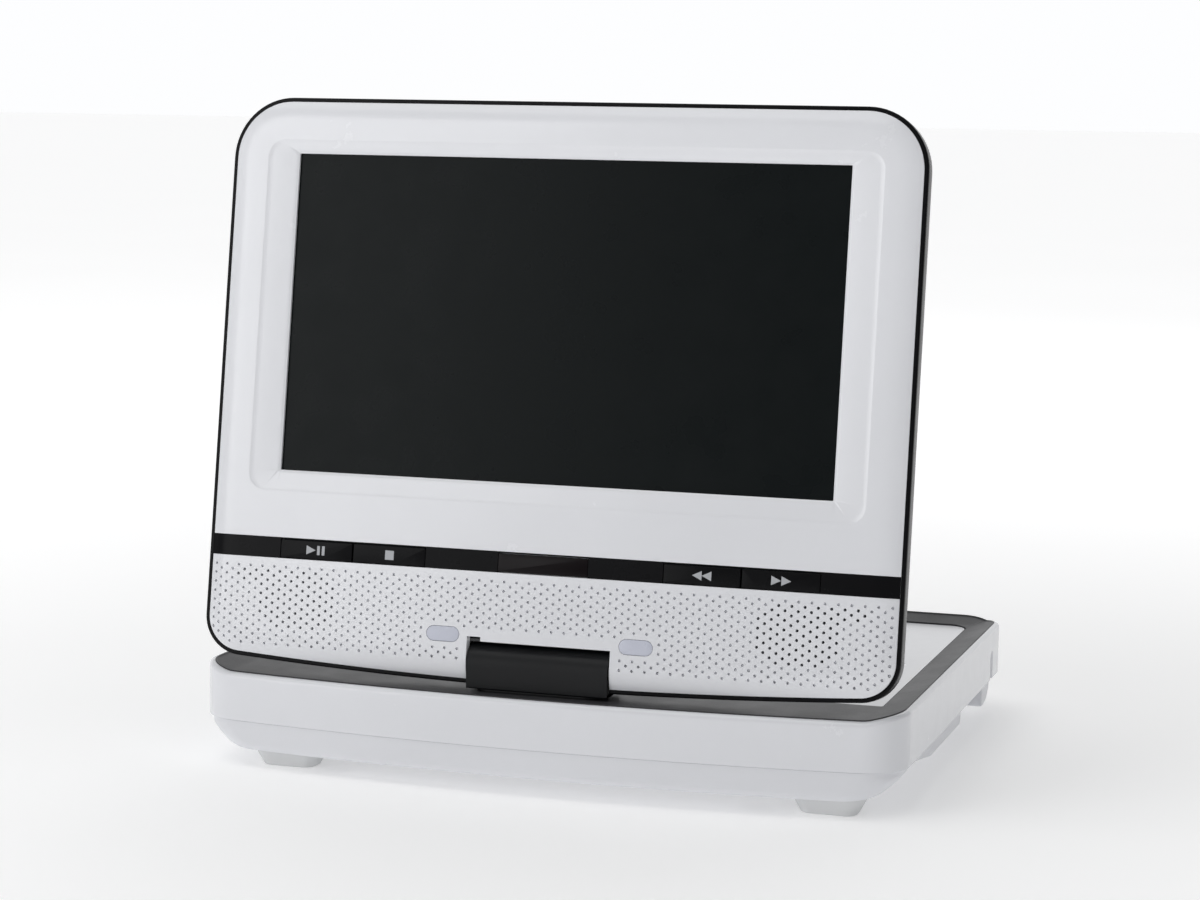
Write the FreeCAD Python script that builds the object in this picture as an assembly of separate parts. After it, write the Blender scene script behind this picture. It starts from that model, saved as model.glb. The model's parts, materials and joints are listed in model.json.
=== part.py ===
import FreeCAD, Part
import math
import os

# Portable DVD player: a wide screen on a swivel-and-tilt hinge at the front edge of a disc-drive
# base. Row frame in mm: +X to the viewer's right, +Y from the screen side of the base to the lid
# latch side, +Z up. Origin: middle of the bounding box, on the plane the rubber feet stand on.

V = FreeCAD.Vector
os.makedirs("parts", exist_ok=True)

# ---- base, outside ---------------------------------------------------------------------------
BASE_HALF_W = 98.6
BASE_HALF_D = 82.1
BASE_BOW_R = 626.0          # the front edge bows out towards the viewer
BASE_CORNER_R = 12.5
FOOT_H = 4.8
SHELL_BOTTOM = FOOT_H
SEAM_Z = 13.0               # upper and lower shells meet here
TRAY_Z = 26.2               # low part of the dished top, where the lid lies
LIP_Z = 28.0                # the side and back edges of the top rise to this
WALL = 2.0
RIM_INSET = 1.4             # white wall left showing outside the dark rim
RIM_FLOOR = 24.0
PLATE_Z = 22.2              # underside of the shell's top plate
TUB_HALF_W = 91.5           # side walls of the lower tub, set in under the upper shell's skirt
TUB_Y0 = -56.0              # the set-in part runs back from here
RAIL_X = 96.8               # outer face of the rail along the middle of each side
LUG_X = 98.4                # outer face of the lug near each rear corner
GROOVE_Y = 58.6             # soft groove in the side wall behind each lug

# ---- lid and disc well -----------------------------------------------------------------------
LID_HALF_W = 88.9           # opening in the rim
LID_Y0 = -53.7
LID_Y1 = 72.7
LID_CORNER_R = 5.5
LID_GAP = 0.35
LID_TOP = 25.9
LID_T = 1.6
LID_AXIS_Y = -52.0
LID_AXIS_Z = 25.1
DISC_Y = 9.5                # spindle axis
WELL_R = 62.5
WELL_FLOOR = 16.6
WELL_WALL = 1.4
HUB_HOLE_R = 15.2

# ---- hinge -----------------------------------------------------------------------------------
AXIS_Y = -69.7              # swivel and tilt axes cross here
AXIS_Z = 32.8
LEAN = 8.5                  # degrees the screen leans back at rest
BLOCK_HALF_W = 19.65
BLOCK_R = 5.8
BLOCK_BOTTOM = 26.9
SHAFT_R = 4.0
RUN = 0.05                  # radial clearance of a running fit

# ---- screen housing, laid flat: x across, y up from the tilt axis, z out of the screen --------
LCD_BOTTOM = 48.75
LCD_W = 154.08
LCD_H = 86.58
BEZEL_HALF_W = 95.75
BEZEL_TOP = 149.6
BEZEL_APEX = -4.25
BEZEL_BOW_R = 1287.0
BEZEL_R_TOP = 15.5
BEZEL_R_LOW = 9.5
HALF_T = 5.5                # half the housing's thickness
BEZEL_BACK = 3.0
BEZEL_EDGE = 3.9
NOTCH_HALF_W = 20.0
NOTCH_TOP = 6.25
STRIP_Y0 = LCD_BOTTOM - 24.1
STRIP_Y1 = LCD_BOTTOM - 18.4
STRIP_FLOOR = 4.3
KEY_SPANS = {
    "play_pause_key": (-75.2, -54.3),
    "stop_key": (-54.0, -33.2),
    "rewind_key": (33.2, 54.0),
    "forward_key": (54.3, 75.2),
}
KEY_Y0 = LCD_BOTTOM - 23.9
KEY_Y1 = LCD_BOTTOM - 18.9
KEY_GAP = 0.12
IR_HALF_W = 12.5
PAD_X = 26.9
PAD_Y = 7.45
GRILLE_PITCH = 3.49
GRILLE_ROW = 1.237
GRILLE_TOP = LCD_BOTTOM - 26.5
GRILLE_HOLE_R = 0.4
SPEAKER_X = 69.7
SPEAKER_Y = LCD_BOTTOM - 35.2

# ---- disc mechanism --------------------------------------------------------------------------
ROD_Z = 13.1
ROD_R = 1.3
ROD_YS = (-5.5, 24.5)
SCREW_Y = 29.0
SCREW_R = 1.2
SLED_X = 25.0               # lens position at rest, at the disc's inner tracks
SLED_TRAVEL = 30.0
CHASSIS_Z = 9.6
CHASSIS_T = 1.0

# ---- left-side controls and sockets ----------------------------------------------------------
JACK_Z = 17.4
PHONE_YS = (20.0, 32.0)
AV_Y = 8.0
DC_Y = 45.0
JACK_R = 1.8
DIAL_X = -90.4
DIAL_Y = -14.0
DIAL_R = 8.0
SWITCH_Y = -34.0
SWITCH_Z = 18.0
FOOT_XY = ((-73.7, -66), (78.2, -66), (-74, 60), (74, 60))
POST_R = 2.9
POST_XY = ((-60, -70), (60, -70), (-75, 74.85), (75, 74.85), (-30, 74.85), (30, 74.85))


def box(x0, x1, y0, y1, z0, z1):
    return Part.makeBox(x1 - x0, y1 - y0, z1 - z0, V(x0, y0, z0))


def side_prism(points, x0, x1, s):
    """Polygon given as (y, z) pushed along X, on the side s."""
    wire = Part.makePolygon([V(x0, y, z) for y, z in points + points[:1]])
    solid = Part.Face(wire).extrude(V(x1 - x0, 0, 0))
    return solid if s > 0 else solid.mirror(V(0, 0, 0), V(1, 0, 0))


def rod(r, a, b):
    """Cylinder of radius r from point a to point b."""
    d = V(*b) - V(*a)
    return Part.makeCylinder(r, d.Length, V(*a), d)


def post(r, x, y, z0, z1):
    return Part.makeCylinder(r, z1 - z0, V(x, y, z0))


def fuse(shapes):
    out = shapes[0].multiFuse(shapes[1:]) if len(shapes) > 1 else shapes[0]
    return out.removeSplitter()


def cut(shape, tools):
    return shape.cut(Part.makeCompound(tools))


def save(shape, node):
    shape.exportStep("parts/" + node + ".step")


def arc(a, m, b):
    return Part.Arc(V(*a), V(*m), V(*b)).toShape()


def bowed_outline(hw, low, high, r_low, r_high, bow_r, z):
    """Rounded rectangle whose low-y side is an arc that bulges to its apex at y = low."""
    yc = low + bow_r
    cx = hw - r_low
    cy = yc - math.sqrt((bow_r - r_low) ** 2 - cx ** 2)
    k = bow_r / math.hypot(cx, cy - yc)
    tx, ty = cx * k, yc + (cy - yc) * k
    a = math.radians(45)
    hm = r_high * (1 - math.cos(a))
    mid = math.atan2(cy - yc, cx) / 2
    mx, my = cx + r_low * math.cos(mid), cy + r_low * math.sin(mid)
    edges = [
        Part.makeLine(V(hw, cy, z), V(hw, high - r_high, z)),
        arc((hw, high - r_high, z), (hw - hm, high - hm, z), (hw - r_high, high, z)),
        Part.makeLine(V(hw - r_high, high, z), V(r_high - hw, high, z)),
        arc((r_high - hw, high, z), (hm - hw, high - hm, z), (-hw, high - r_high, z)),
        Part.makeLine(V(-hw, high - r_high, z), V(-hw, cy, z)),
        arc((-hw, cy, z), (-mx, my, z), (-tx, ty, z)),
        arc((-tx, ty, z), (0, low, z), (tx, ty, z)),
        arc((tx, ty, z), (mx, my, z), (hw, cy, z)),
    ]
    return Part.Wire(edges)


def round_rect(x0, x1, y0, y1, r, z):
    h = r * (1 - math.cos(math.radians(45)))
    edges = [
        Part.makeLine(V(x1, y0 + r, z), V(x1, y1 - r, z)),
        arc((x1, y1 - r, z), (x1 - h, y1 - h, z), (x1 - r, y1, z)),
        Part.makeLine(V(x1 - r, y1, z), V(x0 + r, y1, z)),
        arc((x0 + r, y1, z), (x0 + h, y1 - h, z), (x0, y1 - r, z)),
        Part.makeLine(V(x0, y1 - r, z), V(x0, y0 + r, z)),
        arc((x0, y0 + r, z), (x0 + h, y0 + h, z), (x0 + r, y0, z)),
        Part.makeLine(V(x0 + r, y0, z), V(x1 - r, y0, z)),
        arc((x1 - r, y0, z), (x1 - h, y0 + h, z), (x1, y0 + r, z)),
    ]
    return Part.Wire(edges)


def prism(wire, z1):
    return Part.Face(wire).extrude(V(0, 0, z1 - wire.BoundBox.ZMin))


def loft(wires):
    return Part.makeLoft(wires, True, True)


def slab(x0, x1, y0, y1, r, z0, z1):
    """Flat plate with rounded corners."""
    return prism(round_rect(x0, x1, y0, y1, r, z0), z1)


def tapered(spec, y, r, z0, z1):
    """Frustum of a rounded rectangle: spec = (x, bottom half sizes, top half sizes)."""
    x, (bx, by), (tx, ty) = spec
    low = round_rect(x - bx, x + bx, y - by, y + by, r, z0)
    top = round_rect(x - tx, x + tx, y - ty, y + ty, r + 1, z1)
    return loft([low, top])


# ==== base ====================================================================================

def base_outline(z, side=0.0, front=0.0, rear=0.0):
    inset = min(side, rear)
    return bowed_outline(
        BASE_HALF_W - side, front - BASE_HALF_D, BASE_HALF_D - rear,
        BASE_CORNER_R - inset, BASE_CORNER_R - inset, BASE_BOW_R - front, z)


def dish():
    """Space above the dished top: flat tray, sloping up at both sides and the back."""
    slope = (LIP_Z - TRAY_Z) / (BASE_HALF_W - RIM_INSET - LID_HALF_W)
    rise = 8.0
    run = rise / slope
    far = 200.0
    low = Part.makePolygon([
        V(-LID_HALF_W, -far, TRAY_Z), V(LID_HALF_W, -far, TRAY_Z),
        V(LID_HALF_W, LID_Y1, TRAY_Z), V(-LID_HALF_W, LID_Y1, TRAY_Z),
        V(-LID_HALF_W, -far, TRAY_Z)])
    w = LID_HALF_W + run
    top = Part.makePolygon([
        V(-w, -far, TRAY_Z + rise), V(w, -far, TRAY_Z + rise),
        V(w, LID_Y1 + run, TRAY_Z + rise), V(-w, LID_Y1 + run, TRAY_Z + rise),
        V(-w, -far, TRAY_Z + rise)])
    return loft([low, top])


def scoop(y, depth, z0, z1):
    """Finger hollow in the left wall."""
    r = 30.0
    return post(r, -BASE_HALF_W - r + depth, y, z0, z1)


def side_cuts():
    x0, x1 = -BASE_HALF_W - 1, -BASE_HALF_W + WALL + 1
    tools = [rod(3.5, (x0, y, JACK_Z), (x1, y, JACK_Z)) for y in PHONE_YS + (AV_Y,)]
    tools.append(rod(4.1, (x0, DC_Y, JACK_Z), (x1, DC_Y, JACK_Z)))
    tools.append(scoop(DIAL_Y, 1.1, SWITCH_Z - 3.2, SWITCH_Z + 3.2))
    tools.append(box(x0, x1, DIAL_Y - 6.6, DIAL_Y + 6.6, SWITCH_Z - 1.4, SWITCH_Z + 1.4))
    tools.append(box(x0, 1.1 - BASE_HALF_W, SWITCH_Y - 7, SWITCH_Y + 7, SWITCH_Z - 2.2,
                     SWITCH_Z + 2.2))
    tools.append(box(x0, x1, SWITCH_Y - 4.6, SWITCH_Y + 4.6, SWITCH_Z - 1.3, SWITCH_Z + 1.3))
    return tools


def make_upper_shell():
    body = prism(base_outline(SEAM_Z), LIP_Z + 0.6)
    inner = prism(base_outline(SEAM_Z - 1, WALL, WALL, WALL), PLATE_Z)
    seat = prism(base_outline(RIM_FLOOR, RIM_INSET, RIM_INSET, RIM_INSET), LIP_Z + 2)
    well = box(1.5 - LID_HALF_W, LID_HALF_W - 1.5, LID_Y0 - 0.8, LID_Y1 - 1.5, PLATE_Z - 1, LIP_Z)
    hook = box(-6.2, 6.2, LID_Y1 - 2, LID_Y1 + 6.4, PLATE_Z - 1, RIM_FLOOR + 1)
    # room under the lid's ends for its front edge to swing down as it opens
    swing = [box(min(s * 87, s * 89.4), max(s * 87, s * 89.4), LID_Y0 - 0.8, LID_AXIS_Y + 1.8,
                 23.3, LIP_Z) for s in (-1, 1)]
    shell = cut(body, [inner, seat, well, hook, dish()] + swing)
    grooves = []
    for s in (-1, 1):
        gx = s * (BASE_HALF_W + 2.3)
        grooves += [post(3.2, gx, GROOVE_Y, SEAM_Z - 1, 19.5),
                    Part.makeSphere(3.2, V(gx, GROOVE_Y, 19.5))]
    shell = cut(shell, side_cuts() + grooves)
    posts = [post(POST_R, x, y, 9.0, PLATE_Z + 0.5) for x, y in POST_XY]
    boss = post(7.5, 0, AXIS_Y, 15.0, PLATE_Z + 0.5)
    shell = fuse([shell] + posts + [boss])
    pilots = [post(1.2, x, y, 8.0, 17.5) for x, y in POST_XY]
    bore = post(SHAFT_R + RUN, 0, AXIS_Y, 14.0, LIP_Z)
    save(cut(shell, pilots + [bore]), "base_upper_shell")


def make_rim():
    edge = RIM_INSET + 0.05
    body = prism(base_outline(RIM_FLOOR, edge, edge, edge), LIP_Z + 0.6)
    hole = slab(-LID_HALF_W, LID_HALF_W, LID_Y0 - 6, LID_Y1, LID_CORNER_R, RIM_FLOOR - 1, LIP_Z + 2)
    hole = hole.cut(box(-99, 99, LID_Y0 - 10, LID_Y0, RIM_FLOOR - 2, LIP_Z + 3))
    tools = [hole, dish(), post(SHAFT_R + 0.4, 0, AXIS_Y, RIM_FLOOR - 1, LIP_Z)]
    tools.append(slab(-12.2, 12.2, 74.0, 80.0, 2.0, RIM_FLOOR - 1, LIP_Z + 2))
    for s in (-1, 1):
        tools.append(rod(0.66, (s * 88.0, LID_AXIS_Y, LID_AXIS_Z), (s * 91.0, LID_AXIS_Y, LID_AXIS_Z)))
    tools.append(box(-6.2, 6.2, LID_Y1 - 1, 74.5, RIM_FLOOR - 1, RIM_FLOOR + 0.2))
    save(cut(body, tools), "base_rim")


def lower_sections(extra, z_top, z_low):
    """Sections of the tub from the seam down; extra is the inset for the inside."""
    rows = ((z_top, 1.8, 0.3, 1.8), (11.0, 1.8, 0.3, 1.8), (6.6, 6.2, 0.6, 2.3))
    wires = [base_outline(z, s + extra, f + extra, r + extra) for z, s, f, r in rows]
    if z_low < 6.6:
        wires.append(base_outline(z_low, 10.2, 1.8, 4.0))
    return loft(wires)


def make_lower_shell():
    top = SEAM_Z - 0.1
    shell = lower_sections(0.0, top, SHELL_BOTTOM)
    inside = lower_sections(WALL, SEAM_Z + 1, 6.6)
    set_in = []
    features = []
    rooms = []
    rail = [(-46, top), (-46, 10.4), (-25, 7.4), (18, 7.4), (20, top)]
    rail_room = [(-44, top + 1), (-44, 12.3), (-25, 9.4), (16, 9.4), (17.6, top + 1)]
    lug = [(44, top), (44, 7.4), (48.5, 7.4), (52, 8.2), (54.6, 10.0), (56.2, 12.0), (56.4, top)]
    lug_room = [(46, top + 1), (46, 9.4), (49.5, 9.4), (52.4, 10.8), (54, top + 1)]
    for s in (-1, 1):
        for x, y, z in ((TUB_HALF_W, TUB_Y0, 11.7), (94.0, 57.0, SEAM_Z + 1)):
            set_in.append(box(min(s * x, s * 100), max(s * x, s * 100), y, 84, 3, z))
        inside = inside.cut(box(min(s * 89.6, s * 100), max(s * 89.6, s * 100), TUB_Y0 - 2, 84, 3, 20))
        features += [side_prism(rail, 88.0, RAIL_X, s), side_prism(lug, 88.0, LUG_X, s)]
        rooms += [side_prism(rail_room, 87.0, RAIL_X - 1.9, s), side_prism(lug_room, 87.0, LUG_X - 2, s)]
    shell = cut(fuse([cut(shell, set_in)] + features), [inside] + rooms)
    posts = [post(POST_R, x, y, 5.5, 8.95) for x, y in POST_XY]
    shell = fuse([shell] + posts)
    tools = [post(1.5, x, y, 4.0, 9.5) for x, y in POST_XY]
    tools += [post(2.4, x, y, 4.0, 6.7) for x, y in POST_XY]
    tools.append(slab(-80, -40, -32, 42, 2.5, 4.0, 7.0))
    for row in range(5):
        y = -44.0 + 4.4 * row
        tools.append(slab(14, 44, y, y + 1.6, 0.75, 4.0, 7.0))
    save(cut(shell, tools), "base_lower_shell")


def make_feet():
    feet = []
    for x, y in FOOT_XY:
        pad = loft([round_rect(x - 7.7, x + 7.7, y - 4.8, y + 4.8, 3.5, 0.0),
                    round_rect(x - 10, x + 10, y - 6.6, y + 6.6, 4.5, SHELL_BOTTOM)])
        feet.append(pad)
    save(Part.makeCompound(feet), "rubber_feet")


def make_base_screws():
    screws = []
    for x, y in POST_XY:
        head = post(2.2, x, y, 5.2, 6.7)
        slot = box(x - 1.6, x + 1.6, y - 0.25, y + 0.25, 5.0, 5.8)
        cross = box(x - 0.25, x + 0.25, y - 1.6, y + 1.6, 5.0, 5.8)
        screws.append(fuse([cut(head, [slot, cross]), post(1.2, x, y, 6.5, 17.0)]))
    save(Part.makeCompound(screws), "base_screws")


def make_lid():
    g = LID_GAP
    lid = slab(g - LID_HALF_W, LID_HALF_W - g, LID_Y0 + g - 8, LID_Y1 - g, 5.2, LID_TOP - LID_T, LID_TOP)
    lid = lid.cut(box(-99, 99, LID_Y0 - 20, LID_Y0 + g, 20, 30))
    under = LID_TOP - LID_T
    rib = post(60.5, 0, DISC_Y, under - 0.9, under).cut(post(59.3, 0, DISC_Y, under - 2, under))
    wall = box(-6, 6, 68.8, 70.0, PLATE_Z + 0.2, under)
    foot = box(-5, 5, 69.5, 71.6, PLATE_Z + 0.2, PLATE_Z + 0.8)
    lid = fuse([lid, rib, wall, foot])
    bores = [rod(0.6, (s * 84.0, LID_AXIS_Y, LID_AXIS_Z), (s * 89.5, LID_AXIS_Y, LID_AXIS_Z))
             for s in (-1, 1)]
    save(cut(lid, bores), "disc_lid")
    pins = [rod(0.6, (s * 84.0, LID_AXIS_Y, LID_AXIS_Z), (s * 90.8, LID_AXIS_Y, LID_AXIS_Z))
            for s in (-1, 1)]
    save(Part.makeCompound(pins), "lid_hinge_pins")


def make_latch():
    cap = slab(-11.9, 11.9, 74.3, 78.0, 1.8, RIM_FLOOR + 0.3, LIP_Z - 0.2)
    ribs = [box(-8, 8, y, y + 0.5, LIP_Z - 0.6, LIP_Z + 1) for y in (75.1, 76.1, 77.1)]
    stem = box(-5.5, 5.5, 74.6, 76.4, PLATE_Z + 0.9, RIM_FLOOR + 0.5)
    nose = box(-4.5, 4.5, 71.75, 75.0, PLATE_Z + 0.9, PLATE_Z + 1.6)
    save(fuse([cut(cap, ribs), stem, nose]), "lid_latch_button")


def make_deck():
    plate = slab(-88.5, 88.5, -55.5, 71.9, 3.0, 20.8, PLATE_Z)
    drum = post(WELL_R + WELL_WALL, 0, DISC_Y, WELL_FLOOR - WELL_WALL, PLATE_Z)
    trim = box(-90, 90, -56, 71.9, 0, 40)
    cups = [post(13.4, s * 62.5, DISC_Y, 17.1, PLATE_Z) for s in (-1, 1)]
    deck = fuse([plate, drum.common(trim)] + cups)
    tools = [post(WELL_R, 0, DISC_Y, WELL_FLOOR, PLATE_Z + 1).common(box(-90, 90, -60, 70.6, 0, 40))]
    tools += [post(12.0, s * 62.5, DISC_Y, 18.5, PLATE_Z + 1) for s in (-1, 1)]
    tools.append(post(HUB_HOLE_R, 0, DISC_Y, 10, 20))
    x0, x1 = SLED_X - 5.5, SLED_X + SLED_TRAVEL + 5.5
    tools.append(slab(x0, x1, DISC_Y - 9, DISC_Y + 9, 2.0, 10, 20))
    save(cut(deck, tools), "disc_deck")


def make_turntable():
    shaft = post(0.75, 0, DISC_Y, 11.2, 17.5)
    platter = post(14.5, 0, DISC_Y, 17.0, 18.2).cut(post(10.5, 0, DISC_Y, 18.0, 19.0))
    hub = post(7.4, 0, DISC_Y, 17.5, 19.6)
    nose = Part.makeCone(7.4, 5.6, 1.1, V(0, DISC_Y, 19.6))
    cup = post(3.2, 0, DISC_Y, 20.0, 21.0)
    balls = []
    for k in range(3):
        a = math.radians(90 + 120 * k)
        balls.append(Part.makeSphere(0.9, V(6.7 * math.cos(a), DISC_Y + 6.7 * math.sin(a), 19.2)))
    save(fuse([shaft, platter, hub, nose] + balls).cut(cup), "turntable_hub")


def make_mechanism():
    z1 = CHASSIS_Z + CHASSIS_T
    plate = slab(-20, 69.3, -12, 33, 2.0, CHASSIS_Z, z1)
    ends = []
    for y, r in [(ROD_YS[0], 2.6), (ROD_YS[1], 2.2), (SCREW_Y, 2.2)]:
        for x in (12.0, 66.5):
            ends.append(box(x, x + 1.8, y - r, y + r, z1 - 0.2, ROD_Z + 1.8))
    rods = [rod(ROD_R, (11.0, y, ROD_Z), (69.3, y, ROD_Z)) for y in ROD_YS]
    screw_hole = rod(SCREW_R + RUN, (11.0, SCREW_Y, ROD_Z), (69.0, SCREW_Y, ROD_Z))
    hole = box(22, 62, -1, 20, CHASSIS_Z - 1, z1 + 1)
    chassis = cut(fuse([plate] + ends), rods + [screw_hole, hole])
    save(chassis, "mech_chassis")
    save(Part.makeCompound(rods), "guide_rods")
    grommets = [post(3.0, x, y, 6.6, CHASSIS_Z).cut(post(1.0, x, y, 6, 10))
                for x, y in ((-16, -8), (-16, 29), (66, -8), (66, 29))]
    save(Part.makeCompound(grommets), "mech_grommets")
    motor = fuse([post(11.0, 0, DISC_Y, z1, 14.0), post(4.0, 0, DISC_Y, 13.8, 14.6)])
    save(motor.cut(post(0.8, 0, DISC_Y, 11.0, 15.0)), "spindle_motor")
    thread = rod(SCREW_R, (11.8, SCREW_Y, ROD_Z), (71.5, SCREW_Y, ROD_Z))
    save(thread, "lead_screw")
    can = rod(4.0, (69.6, SCREW_Y, ROD_Z), (82.0, SCREW_Y, ROD_Z))
    save(can.cut(rod(SCREW_R + RUN, (69.0, SCREW_Y, ROD_Z), (72.5, SCREW_Y, ROD_Z))), "sled_motor")


def make_sled():
    x0, x1 = SLED_X - 10, SLED_X + 10
    body = box(x0, x1, ROD_YS[0] - 2.6, SCREW_Y + 2.4, 11.2, 14.8)
    relief = [box(x0 + 5, x1 - 5, ROD_YS[0] - 3, 1.0, 11.0, 15.0)]
    runs = [rod(ROD_R + RUN, (x0 - 1, y, ROD_Z), (x1 + 1, y, ROD_Z)) for y in ROD_YS]
    nut = rod(SCREW_R + RUN, (x0 - 1, SCREW_Y, ROD_Z), (x1 + 1, SCREW_Y, ROD_Z))
    save(cut(body, relief + runs + [nut]), "laser_sled")
    cap = fuse([post(4.6, SLED_X, DISC_Y, 14.8, 16.4), post(3.0, SLED_X, DISC_Y, 16.2, 16.9)])
    cap = cap.cut(post(2.0, SLED_X, DISC_Y, 15.6, 18.0))
    save(cap, "lens_holder")
    dome = Part.makeSphere(4.0, V(SLED_X, DISC_Y, 13.4)).common(post(2.0, SLED_X, DISC_Y, 15.6, 18.0))
    save(dome, "laser_lens")


def make_boards():
    save(slab(-28, 84, 37, 71, 1.5, 8.2, 9.4), "main_board")
    chips = [slab(-12, 10, 44, 64, 0.4, 9.4, 11.0), slab(20, 34, 42, 56, 0.4, 9.4, 10.8),
             slab(40, 58, 58, 68, 0.4, 9.4, 10.6), slab(64, 78, 44, 52, 0.4, 9.4, 10.6)]
    chips += [post(2.5, x, 66, 9.4, 14.0) for x in (66, 73, 80)]
    save(Part.makeCompound(chips), "board_chips")
    board = slab(-28, 84, -50, -17, 1.5, 8.2, 9.4)
    coils = [slab(x, x + 9, -46, -37, 1.0, 9.3, 13.5) for x in (-20, -6, 50)]
    save(fuse([board] + coils), "power_board")


def make_battery():
    save(slab(-84, -36, -36, 46, 3.0, 6.9, 14.0), "battery_pack")
    g = 0.15
    plate = slab(-80 + g, -40 - g, -32 + g, 42 - g, 2.4, SHELL_BOTTOM, 6.2)
    ribs = [box(-66, -54, y, y + 0.7, 4.0, SHELL_BOTTOM + 0.4) for y in (34, 35.6, 37.2)]
    tabs = [box(x, x + 8, -33.6, -31, 6.65, 6.85) for x in (-76, -52)]
    stems = [box(x, x + 8, -31.8, -31, 5.8, 6.85) for x in (-76, -52)]
    save(fuse([cut(plate, ribs)] + tabs + stems), "battery_cover")


def jack_body(y, half, nose_r, bore_r, depth):
    shell = box(2.05 - BASE_HALF_W, 15.0 - BASE_HALF_W, y - half, y + half, 14.2, 20.6)
    x0 = 0.1 - BASE_HALF_W
    nose = rod(nose_r, (x0, y, JACK_Z), (3.0 - BASE_HALF_W, y, JACK_Z))
    mouth = rod(bore_r + 0.25, (x0 - 1, y, JACK_Z), (x0 + 2.0, y, JACK_Z))
    return cut(fuse([shell, nose]), [mouth, rod(bore_r, (x0, y, JACK_Z), (x0 + depth, y, JACK_Z))])


def make_jacks():
    phones = [jack_body(y, 3.5, 3.4, JACK_R, 13.0) for y in PHONE_YS]
    save(Part.makeCompound(phones), "headphone_jacks")
    save(jack_body(AV_Y, 3.5, 3.4, JACK_R, 13.0), "av_jack")
    dc = jack_body(DC_Y, 4.6, 4.0, 2.8, 9.5)
    pin = rod(0.65, (1.6 - BASE_HALF_W, DC_Y, JACK_Z), (10.5 - BASE_HALF_W, DC_Y, JACK_Z))
    save(fuse([dc, pin]), "dc_jack")
    save(box(-95.5, -84.5, 2.0, 52.0, SEAM_Z, 14.2), "jack_board")


def make_volume():
    wheel = post(DIAL_R, DIAL_X, DIAL_Y, SWITCH_Z - 1.1, SWITCH_Z + 1.1)
    teeth = []
    for k in range(36):
        a = math.radians(10 * k)
        teeth.append(post(0.35, DIAL_X + DIAL_R * math.cos(a), DIAL_Y + DIAL_R * math.sin(a),
                          SWITCH_Z - 2, SWITCH_Z + 2))
    save(cut(wheel, teeth + [post(1.5 + RUN, DIAL_X, DIAL_Y, 10, 25)]), "volume_dial")
    pot = slab(DIAL_X - 4, DIAL_X + 4, DIAL_Y - 4, DIAL_Y + 4, 0.5, SEAM_Z + 0.4, SWITCH_Z - 1.5)
    save(fuse([pot, post(1.5, DIAL_X, DIAL_Y, SWITCH_Z - 2, SWITCH_Z + 1.8)]), "volume_pot")


def make_power():
    x = -BASE_HALF_W
    cap = box(x + 0.2, x + 1.0, SWITCH_Y - 4.6, SWITCH_Y + 0.6, SWITCH_Z - 1.9, SWITCH_Z + 1.9)
    grip = [box(x, x + 0.5, SWITCH_Y - 3.6 + 1.1 * k, SWITCH_Y - 3.2 + 1.1 * k, SWITCH_Z - 3,
                SWITCH_Z + 3) for k in range(4)]
    stem = box(x + 0.8, x + 5.0, SWITCH_Y - 4.0, SWITCH_Y, SWITCH_Z - 1.0, SWITCH_Z + 1.0)
    save(fuse([cut(cap, grip), stem]), "power_slider")
    case = box(x + 2.2, x + 7.6, SWITCH_Y - 7, SWITCH_Y + 7, SWITCH_Z - 2.6, SWITCH_Z + 2.6)
    room = box(x + 2.0, x + 5.4, SWITCH_Y - 4.6, SWITCH_Y + 4.6, SWITCH_Z - 1.3, SWITCH_Z + 1.3)
    save(case.cut(room), "power_switch_case")


# ==== hinge ===================================================================================

def make_hinge():
    low = BLOCK_BOTTOM - AXIS_Z
    block = box(-BLOCK_HALF_W, BLOCK_HALF_W, -BLOCK_R, BLOCK_R, low, 0)
    round_top = rod(BLOCK_R, (-BLOCK_HALF_W, 0, 0), (BLOCK_HALF_W, 0, 0))
    block = fuse([block, round_top])
    ends = [e for e in block.Edges if abs(abs(e.CenterOfMass.x) - BLOCK_HALF_W) < 1e-3
            and e.BoundBox.ZMax > low + 0.1]
    block = block.makeFillet(1.0, ends)
    block.translate(V(0, AXIS_Y, AXIS_Z))
    pins = [rod(2.0, (s * 12.0, AXIS_Y, AXIS_Z), (s * 36.0, AXIS_Y, AXIS_Z)) for s in (-1, 1)]
    shaft_top = 30.2
    tools = pins + [post(SHAFT_R, 0, AXIS_Y, 20, shaft_top)]
    tools += [post(1.6, x, AXIS_Y, 20, 29.0) for x in (-14, 14)]
    save(cut(block, tools), "hinge_block")
    save(Part.makeCompound(pins), "tilt_pins")
    shaft = post(SHAFT_R, 0, AXIS_Y, 12.6, shaft_top).cut(post(2.0, 0, AXIS_Y, 10, 40))
    save(shaft, "swivel_shaft")
    ring = post(7.8, 0, AXIS_Y, 13.4, 14.6).cut(post(SHAFT_R, 0, AXIS_Y, 10, 20))
    save(ring, "swivel_retainer")
    plate = slab(-18, 18, AXIS_Y - 5.2, AXIS_Y + 5.2, 5.0, TRAY_Z + 0.1, BLOCK_BOTTOM)
    save(cut(plate, [post(SHAFT_R, 0, AXIS_Y, 20, 30)]
             + [post(1.6, x, AXIS_Y, 20, 30) for x in (-14, 14)]), "swivel_plate")
    screws = [post(1.6, x, AXIS_Y, TRAY_Z + 0.25, 29.0) for x in (-14, 14)]
    save(Part.makeCompound(screws), "block_screws")


# ==== screen housing ==========================================================================

def stand(shape):
    """Turn a piece laid flat about the tilt axis up to the leaning rest pose."""
    shape.rotate(V(0, 0, 0), V(1, 0, 0), 90 - LEAN)
    shape.translate(V(0, AXIS_Y, AXIS_Z))
    return shape


def screen_outline(z, off):
    return bowed_outline(
        BEZEL_HALF_W + off, BEZEL_APEX - off, BEZEL_TOP + off,
        BEZEL_R_LOW + off, BEZEL_R_TOP + off, BEZEL_BOW_R + off, z)


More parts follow.
